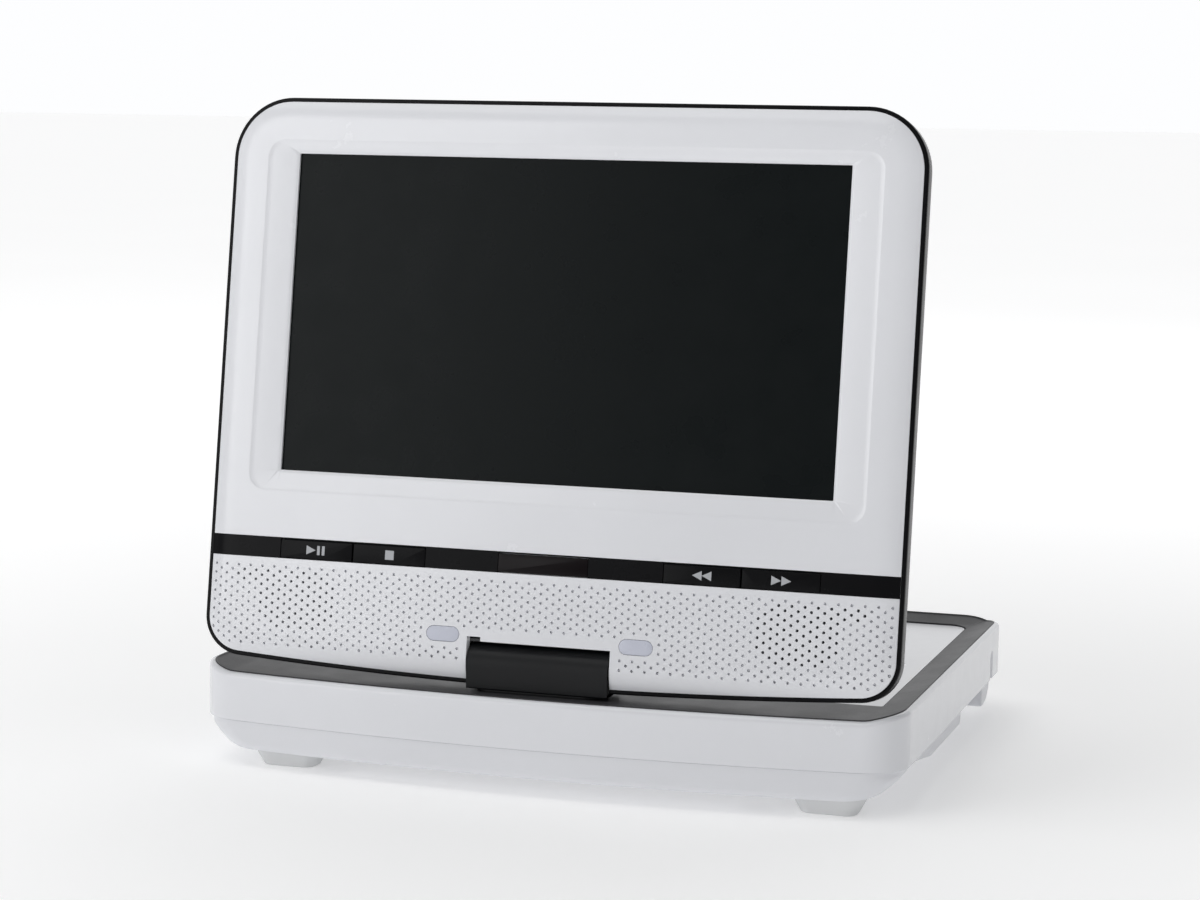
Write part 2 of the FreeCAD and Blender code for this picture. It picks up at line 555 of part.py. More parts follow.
def crown():
    """Solid under the gently crowned front surface."""
    return loft([screen_outline(BEZEL_BACK, 0.0), screen_outline(BEZEL_EDGE, 0.0),
                 screen_outline(5.0, -2.6), screen_outline(HALF_T, -6.5)])


def grille_holes():
    """Open holes in front of the speakers, on the staggered dot grid."""
    span = {1: (64.2, 88.9), 2: (62.5, 88.9), 3: (59.2, 88.9), 12: (62.5, 79.5), 13: (64.2, 78.2)}
    holes = []
    for k in range(1, 14):
        lo, hi = span.get(k, (59.2, 80.4))
        y = GRILLE_TOP - GRILLE_ROW * k
        for n in range(-27, 28):
            x = GRILLE_PITCH * (n + 0.5 * (k % 2))
            if lo <= abs(x) <= hi:
                holes.append(post(GRILLE_HOLE_R, x, y, 2.0, 7.0))
    return holes


def key_slots(z0, z1):
    """The two openings, each shared by a pair of keys."""
    return [box(a - KEY_GAP, b + KEY_GAP, KEY_Y0 - KEY_GAP, KEY_Y1 + KEY_GAP, z0, z1)
            for a, b in ((-75.2, -33.2), (33.2, 75.2))]


def pad(x, grow, z0, z1):
    return slab(x - 4.6 - grow, x + 4.6 + grow, PAD_Y - 2 - grow, PAD_Y + 2 + grow, 1.95 + grow,
                z0, z1)


def make_front_bezel():
    body = crown()
    hx = LCD_W / 2 + 0.06
    y0, y1 = LCD_BOTTOM - 0.06, LCD_BOTTOM + LCD_H + 0.06
    funnel = loft([round_rect(-hx, hx, y0, y1, 0.3, 4.4),
                   round_rect(-86.1, 86.1, LCD_BOTTOM - 6, LCD_BOTTOM + 90.5, 5.0, HALF_T),
                   round_rect(-86.1, 86.1, LCD_BOTTOM - 6, LCD_BOTTOM + 90.5, 5.0, 7.0)])
    window = slab(-hx, hx, y0, y1, 0.3, 2.0, 5.0)
    pocket = box(-83, 83, LCD_BOTTOM - 5, LCD_BOTTOM + 92, 2.0, 3.7)
    channel = box(-99, 99, STRIP_Y0, STRIP_Y1, STRIP_FLOOR, 7.0)
    notch = box(-NOTCH_HALF_W, NOTCH_HALF_W, -20, NOTCH_TOP, 0, 9)
    ir = slab(-5, 5, KEY_Y0 + 0.2, KEY_Y1 - 0.2, 0.8, 2.0, 5.0)
    tools = [funnel, window, pocket, channel, notch, ir] + key_slots(2.0, 5.0)
    for x in (-PAD_X, PAD_X):
        tools += [pad(x, 0.1, 4.8, 7.0), post(2.3, x, PAD_Y, 3.7, 5.0), post(1.3, x, PAD_Y, 2, 5)]
    bezel = cut(body, tools)
    save(stand(cut(bezel, grille_holes())), "front_bezel")


def make_rear_cover():
    body = loft([screen_outline(-HALF_T, -7.0), screen_outline(-4.6, -2.0),
                 screen_outline(-2.5, 0.4), screen_outline(-1.0, 1.25),
                 screen_outline(3.3, 1.25), screen_outline(BEZEL_EDGE, 0.8)])
    room = loft([screen_outline(-3.9, -3.5), screen_outline(-2.0, -0.95),
                 screen_outline(BEZEL_BACK, -0.95)])
    keep = box(-21.8, 21.8, -20, NOTCH_TOP + 1.8, -9, 9)
    seat = prism(screen_outline(BEZEL_BACK, 0.08), 7.0)
    notch = box(-NOTCH_HALF_W, NOTCH_HALF_W, -20, NOTCH_TOP, -9, 9)
    cover = cut(body, [room.cut(keep), seat, notch])
    bosses = [post(2.75, x, PAD_Y, -4.2, BEZEL_BACK) for x in (-PAD_X, PAD_X)]
    cover = fuse([cover] + bosses)
    tools = [post(1.1, x, PAD_Y, -2.5, 5.0) for x in (-PAD_X, PAD_X)]
    tools += [rod(2.3, (s * 19, 0, 0), (s * 23, 0, 0)) for s in (-1, 1)]
    save(stand(cut(cover, tools)), "rear_cover")


def make_screen_screws():
    screws = [fuse([post(2.1, x, PAD_Y, 3.7, 4.75), post(1.1, x, PAD_Y, -2.0, 4.0)])
              for x in (-PAD_X, PAD_X)]
    save(stand(Part.makeCompound(screws)), "screen_screws")
    pads = [pad(x, 0.0, 4.8, HALF_T + 0.1) for x in (-PAD_X, PAD_X)]
    save(stand(Part.makeCompound(pads)), "screw_cover_pads")


def make_lcd():
    y0, y1 = LCD_BOTTOM, LCD_BOTTOM + LCD_H
    frame = box(-82.4, 82.4, y0 - 4.6, y1 + 4.8, -1.5, 3.6)
    tray = box(-80.6, 80.6, y0 - 3.0, y1 + 3.2, -0.9, 2.8)
    window = box(-78.2, 78.2, y0 - 1.1, y1 + 1.1, 2.0, 5.0)
    save(stand(cut(frame, [tray, window])), "lcd_frame")
    glass = [box(-80.4, 80.4, y0 - 2.8, y1 + 3.0, 1.9, 2.75),
             box(-78.1, 78.1, y0 - 1.0, y1 + 1.0, 2.7, 3.6)]
    save(stand(fuse(glass)), "lcd_glass")
    save(stand(box(-80.4, 80.4, y0 - 2.8, y1 + 3.0, -0.85, 1.85)), "lcd_backlight")
    board = slab(-46, 46, LCD_BOTTOM + 8, LCD_BOTTOM + 52, 1.0, -3.0, -2.1)
    parts = [slab(x, x + 14, LCD_BOTTOM + 20, LCD_BOTTOM + 32, 0.4, -3.7, -2.9) for x in (-34, -6, 22)]
    save(stand(fuse([board] + parts)), "lcd_driver_board")


def make_controls():
    strip = crown().common(box(-99, 99, STRIP_Y0, STRIP_Y1, STRIP_FLOOR, 7.0))
    ir_slot = box(-IR_HALF_W - 0.05, IR_HALF_W + 0.05, KEY_Y0, KEY_Y1, 3.0, 7.0)
    save(stand(cut(strip, key_slots(3.0, 7.0) + [ir_slot])), "control_strip")
    win = slab(-IR_HALF_W, IR_HALF_W, KEY_Y0 + 0.05, KEY_Y1 - 0.05, 0.5, STRIP_FLOOR + 0.02, HALF_T)
    save(stand(win), "ir_window")
    switches = []
    for node, (a, b) in KEY_SPANS.items():
        cap = box(a, b, KEY_Y0, KEY_Y1, 2.6, HALF_T)
        flange = box(a + 0.2, b - 0.2, KEY_Y0 - 0.9, KEY_Y1 + 0.9, 2.35, 2.9)
        save(stand(fuse([cap, flange])), node)
        m = (a + b) / 2
        y = (KEY_Y0 + KEY_Y1) / 2
        switches.append(box(m - 2.2, m + 2.2, y - 2.2, y + 2.2, 0.5, 1.85))
    board = box(-80, 80, KEY_Y0 - 3, KEY_Y1 + 4, -0.4, 0.6)
    save(stand(fuse([board] + switches)), "key_board")
    eye = fuse([box(-3, 3, KEY_Y0 + 0.4, KEY_Y1 - 0.4, 0.6, 2.3),
                rod(1.9, (0, (KEY_Y0 + KEY_Y1) / 2, 2.2), (0, (KEY_Y0 + KEY_Y1) / 2, 3.1))])
    save(stand(eye), "ir_receiver")


def make_speakers():
    for node, s in (("left_speaker", -1), ("right_speaker", 1)):
        x = s * SPEAKER_X
        basket = slab(x - 13, x + 13, SPEAKER_Y - 9.2, SPEAKER_Y + 5.6, 2.0, -1.6, 2.95)
        bowl = loft([round_rect(x - 4, x + 4, SPEAKER_Y - 4.4, SPEAKER_Y + 0.8, 2.4, 0.4),
                     round_rect(x - 11.4, x + 11.4, SPEAKER_Y - 7.6, SPEAKER_Y + 4.0, 4.5, 2.6),
                     round_rect(x - 11.4, x + 11.4, SPEAKER_Y - 7.6, SPEAKER_Y + 4.0, 4.5, 4.0)])
        dome = post(2.2, x, SPEAKER_Y - 1.8, 0.2, 1.4)
        magnet = post(6.0, x, SPEAKER_Y - 1.8, -3.3, -1.5)
        save(stand(fuse([basket.cut(bowl), dome, magnet])), node)


def make_brackets():
    brackets = []
    for s in (-1, 1):
        barrel = rod(2.7, (s * 22.3, 0, 0), (s * 36.5, 0, 0))
        arm = box(min(s * 31, s * 40), max(s * 31, s * 40), 0.4, 20, -3.8, -2.6)
        tool = rod(2.0 + RUN, (s * 20, 0, 0), (s * 40, 0, 0))
        brackets.append(fuse([barrel, arm]).cut(tool))
    save(stand(Part.makeCompound(brackets)), "tilt_brackets")


make_upper_shell()
make_rim()
make_lower_shell()
make_feet()
make_base_screws()
make_lid()
make_latch()
make_deck()
make_turntable()
make_mechanism()
make_sled()
make_boards()
make_battery()
make_jacks()
make_volume()
make_power()
make_hinge()
make_front_bezel()
make_rear_cover()
make_screen_screws()
make_lcd()
make_controls()
make_speakers()
make_brackets()
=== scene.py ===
import json
import math
import bpy
import bmesh
from mathutils import Matrix, Vector
from mathutils.geometry import delaunay_2d_cdt


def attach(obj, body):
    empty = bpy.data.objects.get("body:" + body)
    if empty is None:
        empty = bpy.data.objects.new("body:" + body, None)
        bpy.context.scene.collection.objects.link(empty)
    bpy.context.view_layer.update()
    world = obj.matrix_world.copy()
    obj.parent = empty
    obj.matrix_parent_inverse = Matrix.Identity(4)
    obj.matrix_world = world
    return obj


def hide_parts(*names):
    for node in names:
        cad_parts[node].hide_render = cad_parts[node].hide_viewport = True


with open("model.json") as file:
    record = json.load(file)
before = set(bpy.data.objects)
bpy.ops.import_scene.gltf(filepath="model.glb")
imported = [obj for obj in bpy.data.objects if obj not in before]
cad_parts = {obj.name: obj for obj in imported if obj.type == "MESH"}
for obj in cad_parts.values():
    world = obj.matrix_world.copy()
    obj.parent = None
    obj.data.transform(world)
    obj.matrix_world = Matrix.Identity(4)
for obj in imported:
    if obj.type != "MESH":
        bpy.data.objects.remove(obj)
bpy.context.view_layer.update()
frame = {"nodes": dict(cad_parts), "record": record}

MM = 0.001

# ---- sizes shared with the CAD model, in mm ------------------------------------------------------
BASE_HALF_W, BASE_HALF_D, BASE_BOW_R, BASE_CORNER_R = 98.6, 82.1, 626.0, 12.5
SEAM_Z, TRAY_Z, LIP_Z, PLATE_Z, RIM_FLOOR = 13.0, 26.2, 28.0, 22.2, 24.0
WALL, RIM_INSET = 2.0, 1.4
LID_HALF_W, LID_Y0, LID_Y1, LID_CORNER_R = 88.9, -53.7, 72.7, 5.5
LID_PIN_Y, LID_PIN_Z, LID_PIN_R = -52.0, 25.1, 0.66
AXIS_Y, AXIS_Z, LEAN, SWIVEL_BORE_R = -69.7, 32.8, 8.5, 4.05
SCREEN_HALF_W, SCREEN_LOW, SCREEN_TOP = 95.75, -4.25, 149.6
SCREEN_LOW_R, SCREEN_TOP_R, SCREEN_BOW_R = 9.5, 15.5, 1287.0
HALF_T, BEZEL_BACK, BEZEL_EDGE, CROWN_W = 5.5, 3.0, 3.9, 6.5
LCD_BOTTOM, LCD_W, LCD_H = 48.75, 154.08, 86.58
NOTCH_HALF_W, NOTCH_TOP = 20.0, 6.25
NOTCH_STEP_X, NOTCH_STEP = -16.2, 1.0     # the notch is higher left of NOTCH_STEP_X
STRIP_Y0, STRIP_Y1, STRIP_FLOOR = LCD_BOTTOM - 24.1, LCD_BOTTOM - 18.4, 4.3
STRIP_HALF_W, IR_HALF = 95.7, 12.5
KEY_Y0, KEY_Y1 = LCD_BOTTOM - 23.9, LCD_BOTTOM - 18.9
KEYS = {"play_pause": (-75.2, -54.3), "stop": (-54.0, -33.2),
        "rewind": (33.2, 54.0), "forward": (54.3, 75.2)}
KEY_GAP = 0.12
KEY_PAIRS = [(-75.2 - KEY_GAP, -33.2 + KEY_GAP), (33.2 - KEY_GAP, 75.2 + KEY_GAP)]
PAD_X, PAD_Y, PAD_STRAIGHT, PAD_R = 26.9, 7.45, 2.6, 2.1
PITCH, ROW, GRILLE_TOP = 3.49, 1.237, LCD_BOTTOM - 26.5
HOLE_R, DIMPLE_R, DIMPLE_FLOOR_R, DIMPLE_DEPTH = 0.42, 0.4, 0.34, 0.75
JACK_Z, PHONE_YS, AV_Y, DC_Y = 17.4, (20.0, 32.0), 8.0, 45.0
SIDE_Z, DIAL_Y, SWITCH_Y = 18.0, -14.0, -34.0
POSTS = ((-60, -70), (60, -70), (-75, 74.85), (75, 74.85), (-30, 74.85), (30, 74.85))
POST_R = 2.9
TUB_HALF_W, TUB_Y0, RAIL_X, LUG_X, GROOVE_Y = 91.5, -56.0, 96.8, 98.4, 58.6
FEET = ((-73.7, -66), (78.2, -66), (-74, 60), (74, 60))
BUMP_PADS = ((-76, 28), (76, 28), (-76, 128), (76, 128))
SLOPE = (LIP_Z - TRAY_Z) / (BASE_HALF_W - RIM_INSET - LID_HALF_W)


# ==== materials ===================================================================================

def srgb(r, g, b):
    """Linear colour of an sRGB value given as 0..255."""
    def lin(c):
        c /= 255
        return c / 12.92 if c <= 0.04045 else ((c + 0.055) / 1.055) ** 2.4
    return (lin(r), lin(g), lin(b), 1.0)


def scaled(c, k):
    return (min(c[0] * k, 1), min(c[1] * k, 1), min(c[2] * k, 1), 1.0)


class Nodes:
    """Short helper round one material's node tree."""

    def __init__(self, name):
        self.mat = bpy.data.materials.new(name)
        self.mat.use_nodes = True
        self.tree = self.mat.node_tree
        self.bsdf = self.tree.nodes["Principled BSDF"]
        self.coord = self.add("ShaderNodeTexCoord")

    def add(self, kind, **values):
        node = self.tree.nodes.new(kind)
        for key, value in values.items():
            setattr(node, key, value)
        return node

    def link(self, a, b):
        self.tree.links.new(a, b)

    def noise(self, scale, detail=4.0, rough=0.5, stretch=None):
        tex = self.add("ShaderNodeTexNoise")
        tex.inputs["Scale"].default_value = scale
        tex.inputs["Detail"].default_value = detail
        tex.inputs["Roughness"].default_value = rough
        source = self.coord.outputs["Object"]
        if stretch:
            mapping = self.add("ShaderNodeMapping")
            mapping.inputs["Scale"].default_value = stretch
            self.link(source, mapping.inputs["Vector"])
            source = mapping.outputs["Vector"]
        self.link(source, tex.inputs["Vector"])
        return tex.outputs["Fac"]

    def ramp(self, fac, stops):
        node = self.add("ShaderNodeValToRGB")
        el = node.color_ramp.elements
        while len(el) < len(stops):
            el.new(0.5)
        for e, (pos, col) in zip(el, stops):
            e.position = pos
            e.color = col
        self.link(fac, node.inputs["Fac"])
        return node.outputs["Color"]

    def span(self, fac, low, high, a, b):
        node = self.add("ShaderNodeMapRange")
        for key, value in (("From Min", low), ("From Max", high), ("To Min", a), ("To Max", b)):
            node.inputs[key].default_value = value
        self.link(fac, node.inputs["Value"])
        return node.outputs["Result"]

    def mix(self, fac, a, b, blend="MIX"):
        node = self.add("ShaderNodeMix", data_type="RGBA", blend_type=blend)
        for socket, value in ((node.inputs[0], fac), (node.inputs[6], a), (node.inputs[7], b)):
            if isinstance(value, (tuple, float, int)):
                socket.default_value = value
            else:
                self.link(value, socket)
        return node.outputs[2]

    def bump(self, fac, distance, strength=0.5, normal=None):
        node = self.add("ShaderNodeBump")
        node.inputs["Distance"].default_value = distance
        node.inputs["Strength"].default_value = strength
        self.link(fac, node.inputs["Height"])
        if normal is not None:
            self.link(normal, node.inputs["Normal"])
        return node.outputs["Normal"]


def finish_material(n, color, rough, grain_scale, grain, *, metal=0.0, coat=0.0, coat_rough=0.1,
                    spec=0.5, blotch=0.03, rough_var=0.05, wear=0.0, stretch=None, fine=0.0):
    """Mottled colour, uneven roughness, grain bump and paler worn edges."""
    dirt = n.noise(22.0, 5.0, 0.6)
    tone = n.ramp(dirt, [(0.3, scaled(color, 1 - blotch)), (0.72, scaled(color, 1 + blotch))])
    if fine:
        speck = n.span(n.noise(2600.0, 2.0), 0.35, 0.65, 1 - fine, 1 + fine)
        comb = n.add("ShaderNodeCombineColor")
        for k in range(3):
            n.link(speck, comb.inputs[k])
        tone = n.mix(1.0, tone, comb.outputs[0], "MULTIPLY")
    if wear:
        edge = n.add("ShaderNodeNewGeometry").outputs["Pointiness"]
        tone = n.mix(n.span(edge, 0.52, 0.62, 0.0, wear), tone, scaled(color, 2.2))
    n.link(tone, n.bsdf.inputs["Base Color"])
    n.link(n.span(n.noise(60.0, 6.0, 0.65), 0.3, 0.7, rough - rough_var, rough + rough_var),
           n.bsdf.inputs["Roughness"])
    n.bsdf.inputs["Metallic"].default_value = metal
    n.bsdf.inputs["Coat Weight"].default_value = coat
    n.bsdf.inputs["Coat Roughness"].default_value = coat_rough
    n.bsdf.inputs["Specular IOR Level"].default_value = spec
    low = n.bump(n.noise(9.0, 2.0), 0.0006, 0.08)
    n.link(n.bump(n.noise(grain_scale, 3.0, 0.6, stretch), grain, 0.6, low),
           n.bsdf.inputs["Normal"])
    return n.mat


def plain(name, color, rough, grain_scale=1500.0, grain=0.00001, **more):
    return finish_material(Nodes(name), color, rough, grain_scale, grain, **more)


def board_material():
    """Solder mask with copper tracks under it and pale legend specks."""
    n = Nodes("pcb")
    wave = n.add("ShaderNodeTexWave", wave_type="BANDS", bands_direction="DIAGONAL")
    wave.inputs["Scale"].default_value = 190.0
    wave.inputs["Distortion"].default_value = 6.0
    wave.inputs["Detail"].default_value = 1.0
    n.link(n.coord.outputs["Object"], wave.inputs["Vector"])
    track = n.ramp(wave.outputs["Fac"],
                   [(0.45, (0.006, 0.07, 0.025, 1)), (0.55, (0.02, 0.15, 0.05, 1))])
    cells = n.add("ShaderNodeTexVoronoi", feature="F1")
    cells.inputs["Scale"].default_value = 330.0
    n.link(n.coord.outputs["Object"], cells.inputs["Vector"])
    pad = n.span(cells.outputs["Distance"], 0.12, 0.16, 1.0, 0.0)
    color = n.mix(pad, track, (0.62, 0.6, 0.5, 1))
    n.link(color, n.bsdf.inputs["Base Color"])
    n.link(n.span(pad, 0, 1, 0.35, 0.22), n.bsdf.inputs["Roughness"])
    n.link(n.bump(wave.outputs["Fac"], 0.00004, 0.5), n.bsdf.inputs["Normal"])
    return n.mat


def lcd_material():
    """Anti-glare film over an unlit panel."""
    n = Nodes("lcd")
    tint = n.noise(7.0, 2.0)
    n.link(n.ramp(tint, [(0.3, srgb(9, 14, 15)), (0.7, srgb(13, 18, 19))]),
           n.bsdf.inputs["Base Color"])
    n.link(n.span(n.noise(90.0, 3.0), 0.3, 0.7, 0.26, 0.32), n.bsdf.inputs["Roughness"])
    n.bsdf.inputs["Specular IOR Level"].default_value = 0.12
    n.link(n.bump(n.noise(5200.0, 1.0), 0.000004, 0.4), n.bsdf.inputs["Normal"])
    return n.mat


def lens_material():
    n = Nodes("lens")
    n.link(n.ramp(n.noise(400.0), [(0.3, srgb(60, 40, 120)), (0.7, srgb(40, 70, 150))]),
           n.bsdf.inputs["Base Color"])
    n.bsdf.inputs["Roughness"].default_value = 0.04
    n.bsdf.inputs["Coat Weight"].default_value = 1.0
    return n.mat


MAT = {
    "white_gloss": plain("white_gloss", srgb(233, 234, 238), 0.24, 900.0, 0.000006, coat=0.35,
                         coat_rough=0.12, blotch=0.012, rough_var=0.04),
    "white_satin": plain("white_satin", srgb(231, 232, 236), 0.4, 1300.0, 0.00002, blotch=0.015),
    "black_gloss": plain("black_gloss", srgb(14, 14, 16), 0.27, 900.0, 0.000004, spec=0.1,
                         blotch=0.1, rough_var=0.05),
    "black_satin": plain("black_satin", srgb(17, 18, 20), 0.42, 2600.0, 0.00003, spec=0.25,
                         blotch=0.08, wear=0.25),
    "grey_rim": plain("grey_rim", srgb(60, 60, 62), 0.42, 2400.0, 0.00004, spec=0.22, blotch=0.05,
                      fine=0.14, wear=0.12),
    "deck_grey": plain("deck_grey", srgb(70, 72, 75), 0.5, 1800.0, 0.00006, blotch=0.06, fine=0.08,
                       wear=0.15),
    "lavender": plain("lavender", srgb(202, 205, 218), 0.3, 1500.0, 0.00001, blotch=0.02),
    "foot_rubber": plain("foot_rubber", srgb(222, 223, 224), 0.72, 1100.0, 0.00006, blotch=0.04,
                         spec=0.3),
    "dark_rubber": plain("dark_rubber", srgb(28, 28, 28), 0.75, 1200.0, 0.00006, blotch=0.1),
    "steel": plain("steel", srgb(190, 192, 196), 0.26, 700.0, 0.00001, metal=1.0, blotch=0.05,
                   rough_var=0.1, stretch=(1.0, 14.0, 14.0)),
    "zinc": plain("zinc", srgb(176, 180, 186), 0.42, 500.0, 0.00002, metal=1.0, blotch=0.12,
                  rough_var=0.1),
    "aluminium": plain("aluminium", srgb(200, 202, 205), 0.35, 900.0, 0.00001, metal=1.0,
                       blotch=0.04, stretch=(1.0, 30.0, 1.0)),
    "pcb": board_material(),
    "chip": plain("chip", srgb(34, 34, 36), 0.55, 2200.0, 0.00004, blotch=0.1),
    "lcd": lcd_material(),
    "diffuser": plain("diffuser", srgb(238, 238, 234), 0.5, 1200.0, 0.00001, blotch=0.01),
    "lens": lens_material(),
    "ir_tint": plain("ir_tint", srgb(15, 10, 12), 0.2, 900.0, 0.000003, spec=0.12, blotch=0.15),
    "cell": plain("cell", srgb(40, 56, 92), 0.35, 600.0, 0.00002, blotch=0.05),
    "cone": plain("cone", srgb(30, 30, 30), 0.8, 1600.0, 0.0001, blotch=0.12),
    "print": plain("print", srgb(176, 178, 182), 0.5, 1500.0, 0.00001, blotch=0.02),
}
NODE_SLOT = {s["node"]: s["material_slot"] for s in frame["record"]["subparts"]}


# ==== mesh helpers ================================================================================

def bow_outline(hw, low, high, r_low, r_high, bow):
    """Points round a rounded rectangle whose low-y side is an arc with its apex at y = low."""
    yc = low + bow
    cx = hw - r_low
    cy = yc - math.sqrt((bow - r_low) ** 2 - cx ** 2)
    turn = math.atan2(cy - yc, cx)
    pts = []

    def run(a, b, n):
        pts.extend(((a[0] + (b[0] - a[0]) * k / n, a[1] + (b[1] - a[1]) * k / n) for k in range(n)))

    def bend(c, r, a0, a1, n):
        for k in range(n):
            a = a0 + (a1 - a0) * k / n
            pts.append((c[0] + r * math.cos(a), c[1] + r * math.sin(a)))

    q = math.pi / 2
    run((hw, cy), (hw, high - r_high), 10)
    bend((hw - r_high, high - r_high), r_high, 0, q, 16)
    run((hw - r_high, high), (r_high - hw, high), 16)
    bend((r_high - hw, high - r_high), r_high, q, 2 * q, 16)
    run((-hw, high - r_high), (-hw, cy), 10)
    bend((-cx, cy), r_low, math.pi, math.pi - turn, 16)
    bend((0, yc), bow, math.pi - turn, 2 * math.pi + turn, 48)
    bend((cx, cy), r_low, turn, 0, 16)
    return pts


def rect_outline(x0, x1, y0, y1, r_low, r_high):
    """The same walk round a plain rounded rectangle, point for point."""
    hw, mx = (x1 - x0) / 2, (x0 + x1) / 2
    flat = 1e6
    return [(x + mx, y) for x, y in bow_outline(hw, y0, y1, r_low, r_high, flat)]


def base_ring(z, side=0.0, front=None, rear=None):
    front = side if front is None else front
    rear = side if rear is None else rear
    corner = max(BASE_CORNER_R - min(side, rear), 1.5)
    pts = bow_outline(BASE_HALF_W - side, front - BASE_HALF_D, BASE_HALF_D - rear,
                      corner, corner, BASE_BOW_R - front)
    return at(pts, z)


def screen_ring(n, off):
    pts = bow_outline(SCREEN_HALF_W + off, SCREEN_LOW - off, SCREEN_TOP + off,
                      SCREEN_LOW_R + off, SCREEN_TOP_R + off, SCREEN_BOW_R + off)
    return at(pts, n)


def at(points, z):
    """Flat points at a height, which is a number or a function of x and y."""
    return [(x, y, z(x, y) if callable(z) else z) for x, y in points]


def ring_mesh(rings, closed=False):
    """Skin a list of equal rings; an open stack gets one face across each end."""
    verts, faces = [], []
    n = len(rings[0])
    for ring in rings:
        verts.extend(ring)
    last = len(rings) if closed else len(rings) - 1
    for i in range(last):
        a, b = i * n, ((i + 1) % len(rings)) * n
        for j in range(n):
            k = (j + 1) % n
            faces.append((a + j, a + k, b + k, b + j))
    if not closed:
        faces.append(tuple(range(n)))
        faces.append(tuple(range((len(rings) - 1) * n, len(rings) * n)))
    return verts, faces


def join_meshes(*parts):
    verts, faces = [], []
    for v, f in parts:
        base = len(verts)
        verts.extend(v)
        faces.extend(tuple(i + base for i in face) for face in f)
    return verts, faces


def box_mesh(x0, x1, y0, y1, z0, z1):
    v = [(x, y, z) for z in (z0, z1) for x, y in ((x0, y0), (x1, y0), (x1, y1), (x0, y1))]
    return v, [(0, 3, 2, 1), (4, 5, 6, 7), (0, 1, 5, 4), (1, 2, 6, 5), (2, 3, 7, 6), (3, 0, 4, 7)]


def rounded_polygon(points, r, steps=5):
    """Walk round a polygon with every corner swept by a short curve."""
    out = []
    n = len(points)
    for k in range(n):
        a, b, c = Vector(points[k - 1]), Vector(points[k]), Vector(points[(k + 1) % n])
        back, ahead = (a - b), (c - b)
        cut = min(r, back.length * 0.45, ahead.length * 0.45)
        p, q = b + back.normalized() * cut, b + ahead.normalized() * cut
        for j in range(steps + 1):
            t = j / steps
            out.append(tuple(p * (1 - t) ** 2 + b * (2 * t * (1 - t)) + q * t ** 2))
    return out


def shrink(points, d):
    """Move a closed outline inwards by d along its own normals."""
    n = len(points)
    area = sum(points[k - 1][0] * points[k][1] - points[k][0] * points[k - 1][1] for k in range(n))
    sign = 1 if area > 0 else -1
    out = []
    for k in range(n):
        t = Vector(points[(k + 1) % n]) - Vector(points[k - 1])
        if t.length < 1e-9:
            t = Vector((1, 0))
        t.normalize()
        out.append((points[k][0] - sign * d * t.y, points[k][1] + sign * d * t.x))
    return out


def quarter_turn(steps):
    """(1 - sin, 1 - cos) along a quarter circle, for rolled edges."""
    turn = (math.pi / 2 * k / steps for k in range(steps + 1))
    return [(1 - math.sin(a), 1 - math.cos(a)) for a in turn]


def side_prism(points, r, x0, x1, edge, s):
    """Rounded (y, z) outline pushed along X with a rolled outer edge, on the side s."""
    base = rounded_polygon(points, r)
    rings = [[(s * x0, y, z) for y, z in base]]
    for down, inward in quarter_turn(4):
        ring = shrink(base, edge * inward)
        rings.append([(s * (x1 - edge * down), y, z) for y, z in ring])
    return ring_mesh(rings)


def drum(profile, x, y, n=48):
    """Turned solid: profile is a list of (radius, z)."""
    rings = [[(x + r * math.cos(2 * math.pi * k / n), y + r * math.sin(2 * math.pi * k / n), z)
              for k in range(n)] for r, z in profile]
    return ring_mesh(rings)


def soft_bar(x0, x1, y0, y1, z0, z1, r, edge):
    """Rounded-rectangle block with a rolled top edge."""
    rings = [at(rect_outline(x0, x1, y0, y1, r, r), z0)]
    for down, inward in quarter_turn(4):
        i = edge * inward
        corner = max(r - i, 0.05)
        rings.append(at(rect_outline(x0 + i, x1 - i, y0 + i, y1 - i, corner, corner),
                        z1 - edge * down))
    return ring_mesh(rings)


LIFT = Matrix.Translation((0, AXIS_Y, AXIS_Z)) @ Matrix.Rotation(math.radians(90 - LEAN), 4, "X")


def stood(mesh):
    """Flat screen coordinates to the leaning rest pose."""
    verts, faces = mesh
    return [tuple(LIFT @ Vector(v)) for v in verts], faces


def build(name, mesh):
    """Object in metres from a mesh in mm, with doubles merged and normals turned outwards."""
    verts, faces = mesh
    me = bpy.data.meshes.new(name)
    me.from_pydata([(x * MM, y * MM, z * MM) for x, y, z in verts], [], faces)
    obj = bpy.data.objects.new(name, me)
    bpy.context.scene.collection.objects.link(obj)
    bm = bmesh.new()
    bm.from_mesh(me)
    bmesh.ops.remove_doubles(bm, verts=bm.verts, dist=1e-7)
    bmesh.ops.recalc_face_normals(bm, faces=bm.faces)
    bm.to_mesh(me)
    bm.free()
    return obj


def shade(obj, angle=32.0):
    """Smooth shading with crisp edges above the angle."""
    me = obj.data
    bm = bmesh.new()
    bm.from_mesh(me)
    limit = math.radians(angle)
    for f in bm.faces:
        f.smooth = True
    for e in bm.edges:
        e.smooth = len(e.link_faces) == 2 and e.calc_face_angle(0) < limit
    bm.to_mesh(me)
    bm.free()


def boolean(obj, tool_mesh, operation="DIFFERENCE"):
    merge(obj, build(obj.name + ".tool", tool_mesh), operation)


def merge(obj, tool, operation="UNION"):
    mod = obj.modifiers.new("cut", "BOOLEAN")
    mod.object = tool
    mod.operation = operation
    mod.solver = "EXACT"
    mod.use_self = False
    dg = bpy.context.evaluated_depsgraph_get()
    done = bpy.data.meshes.new_from_object(obj.evaluated_get(dg))
    obj.modifiers.clear()
    old = obj.data
    obj.data = done
    bpy.data.meshes.remove(old)
    bpy.data.objects.remove(tool)


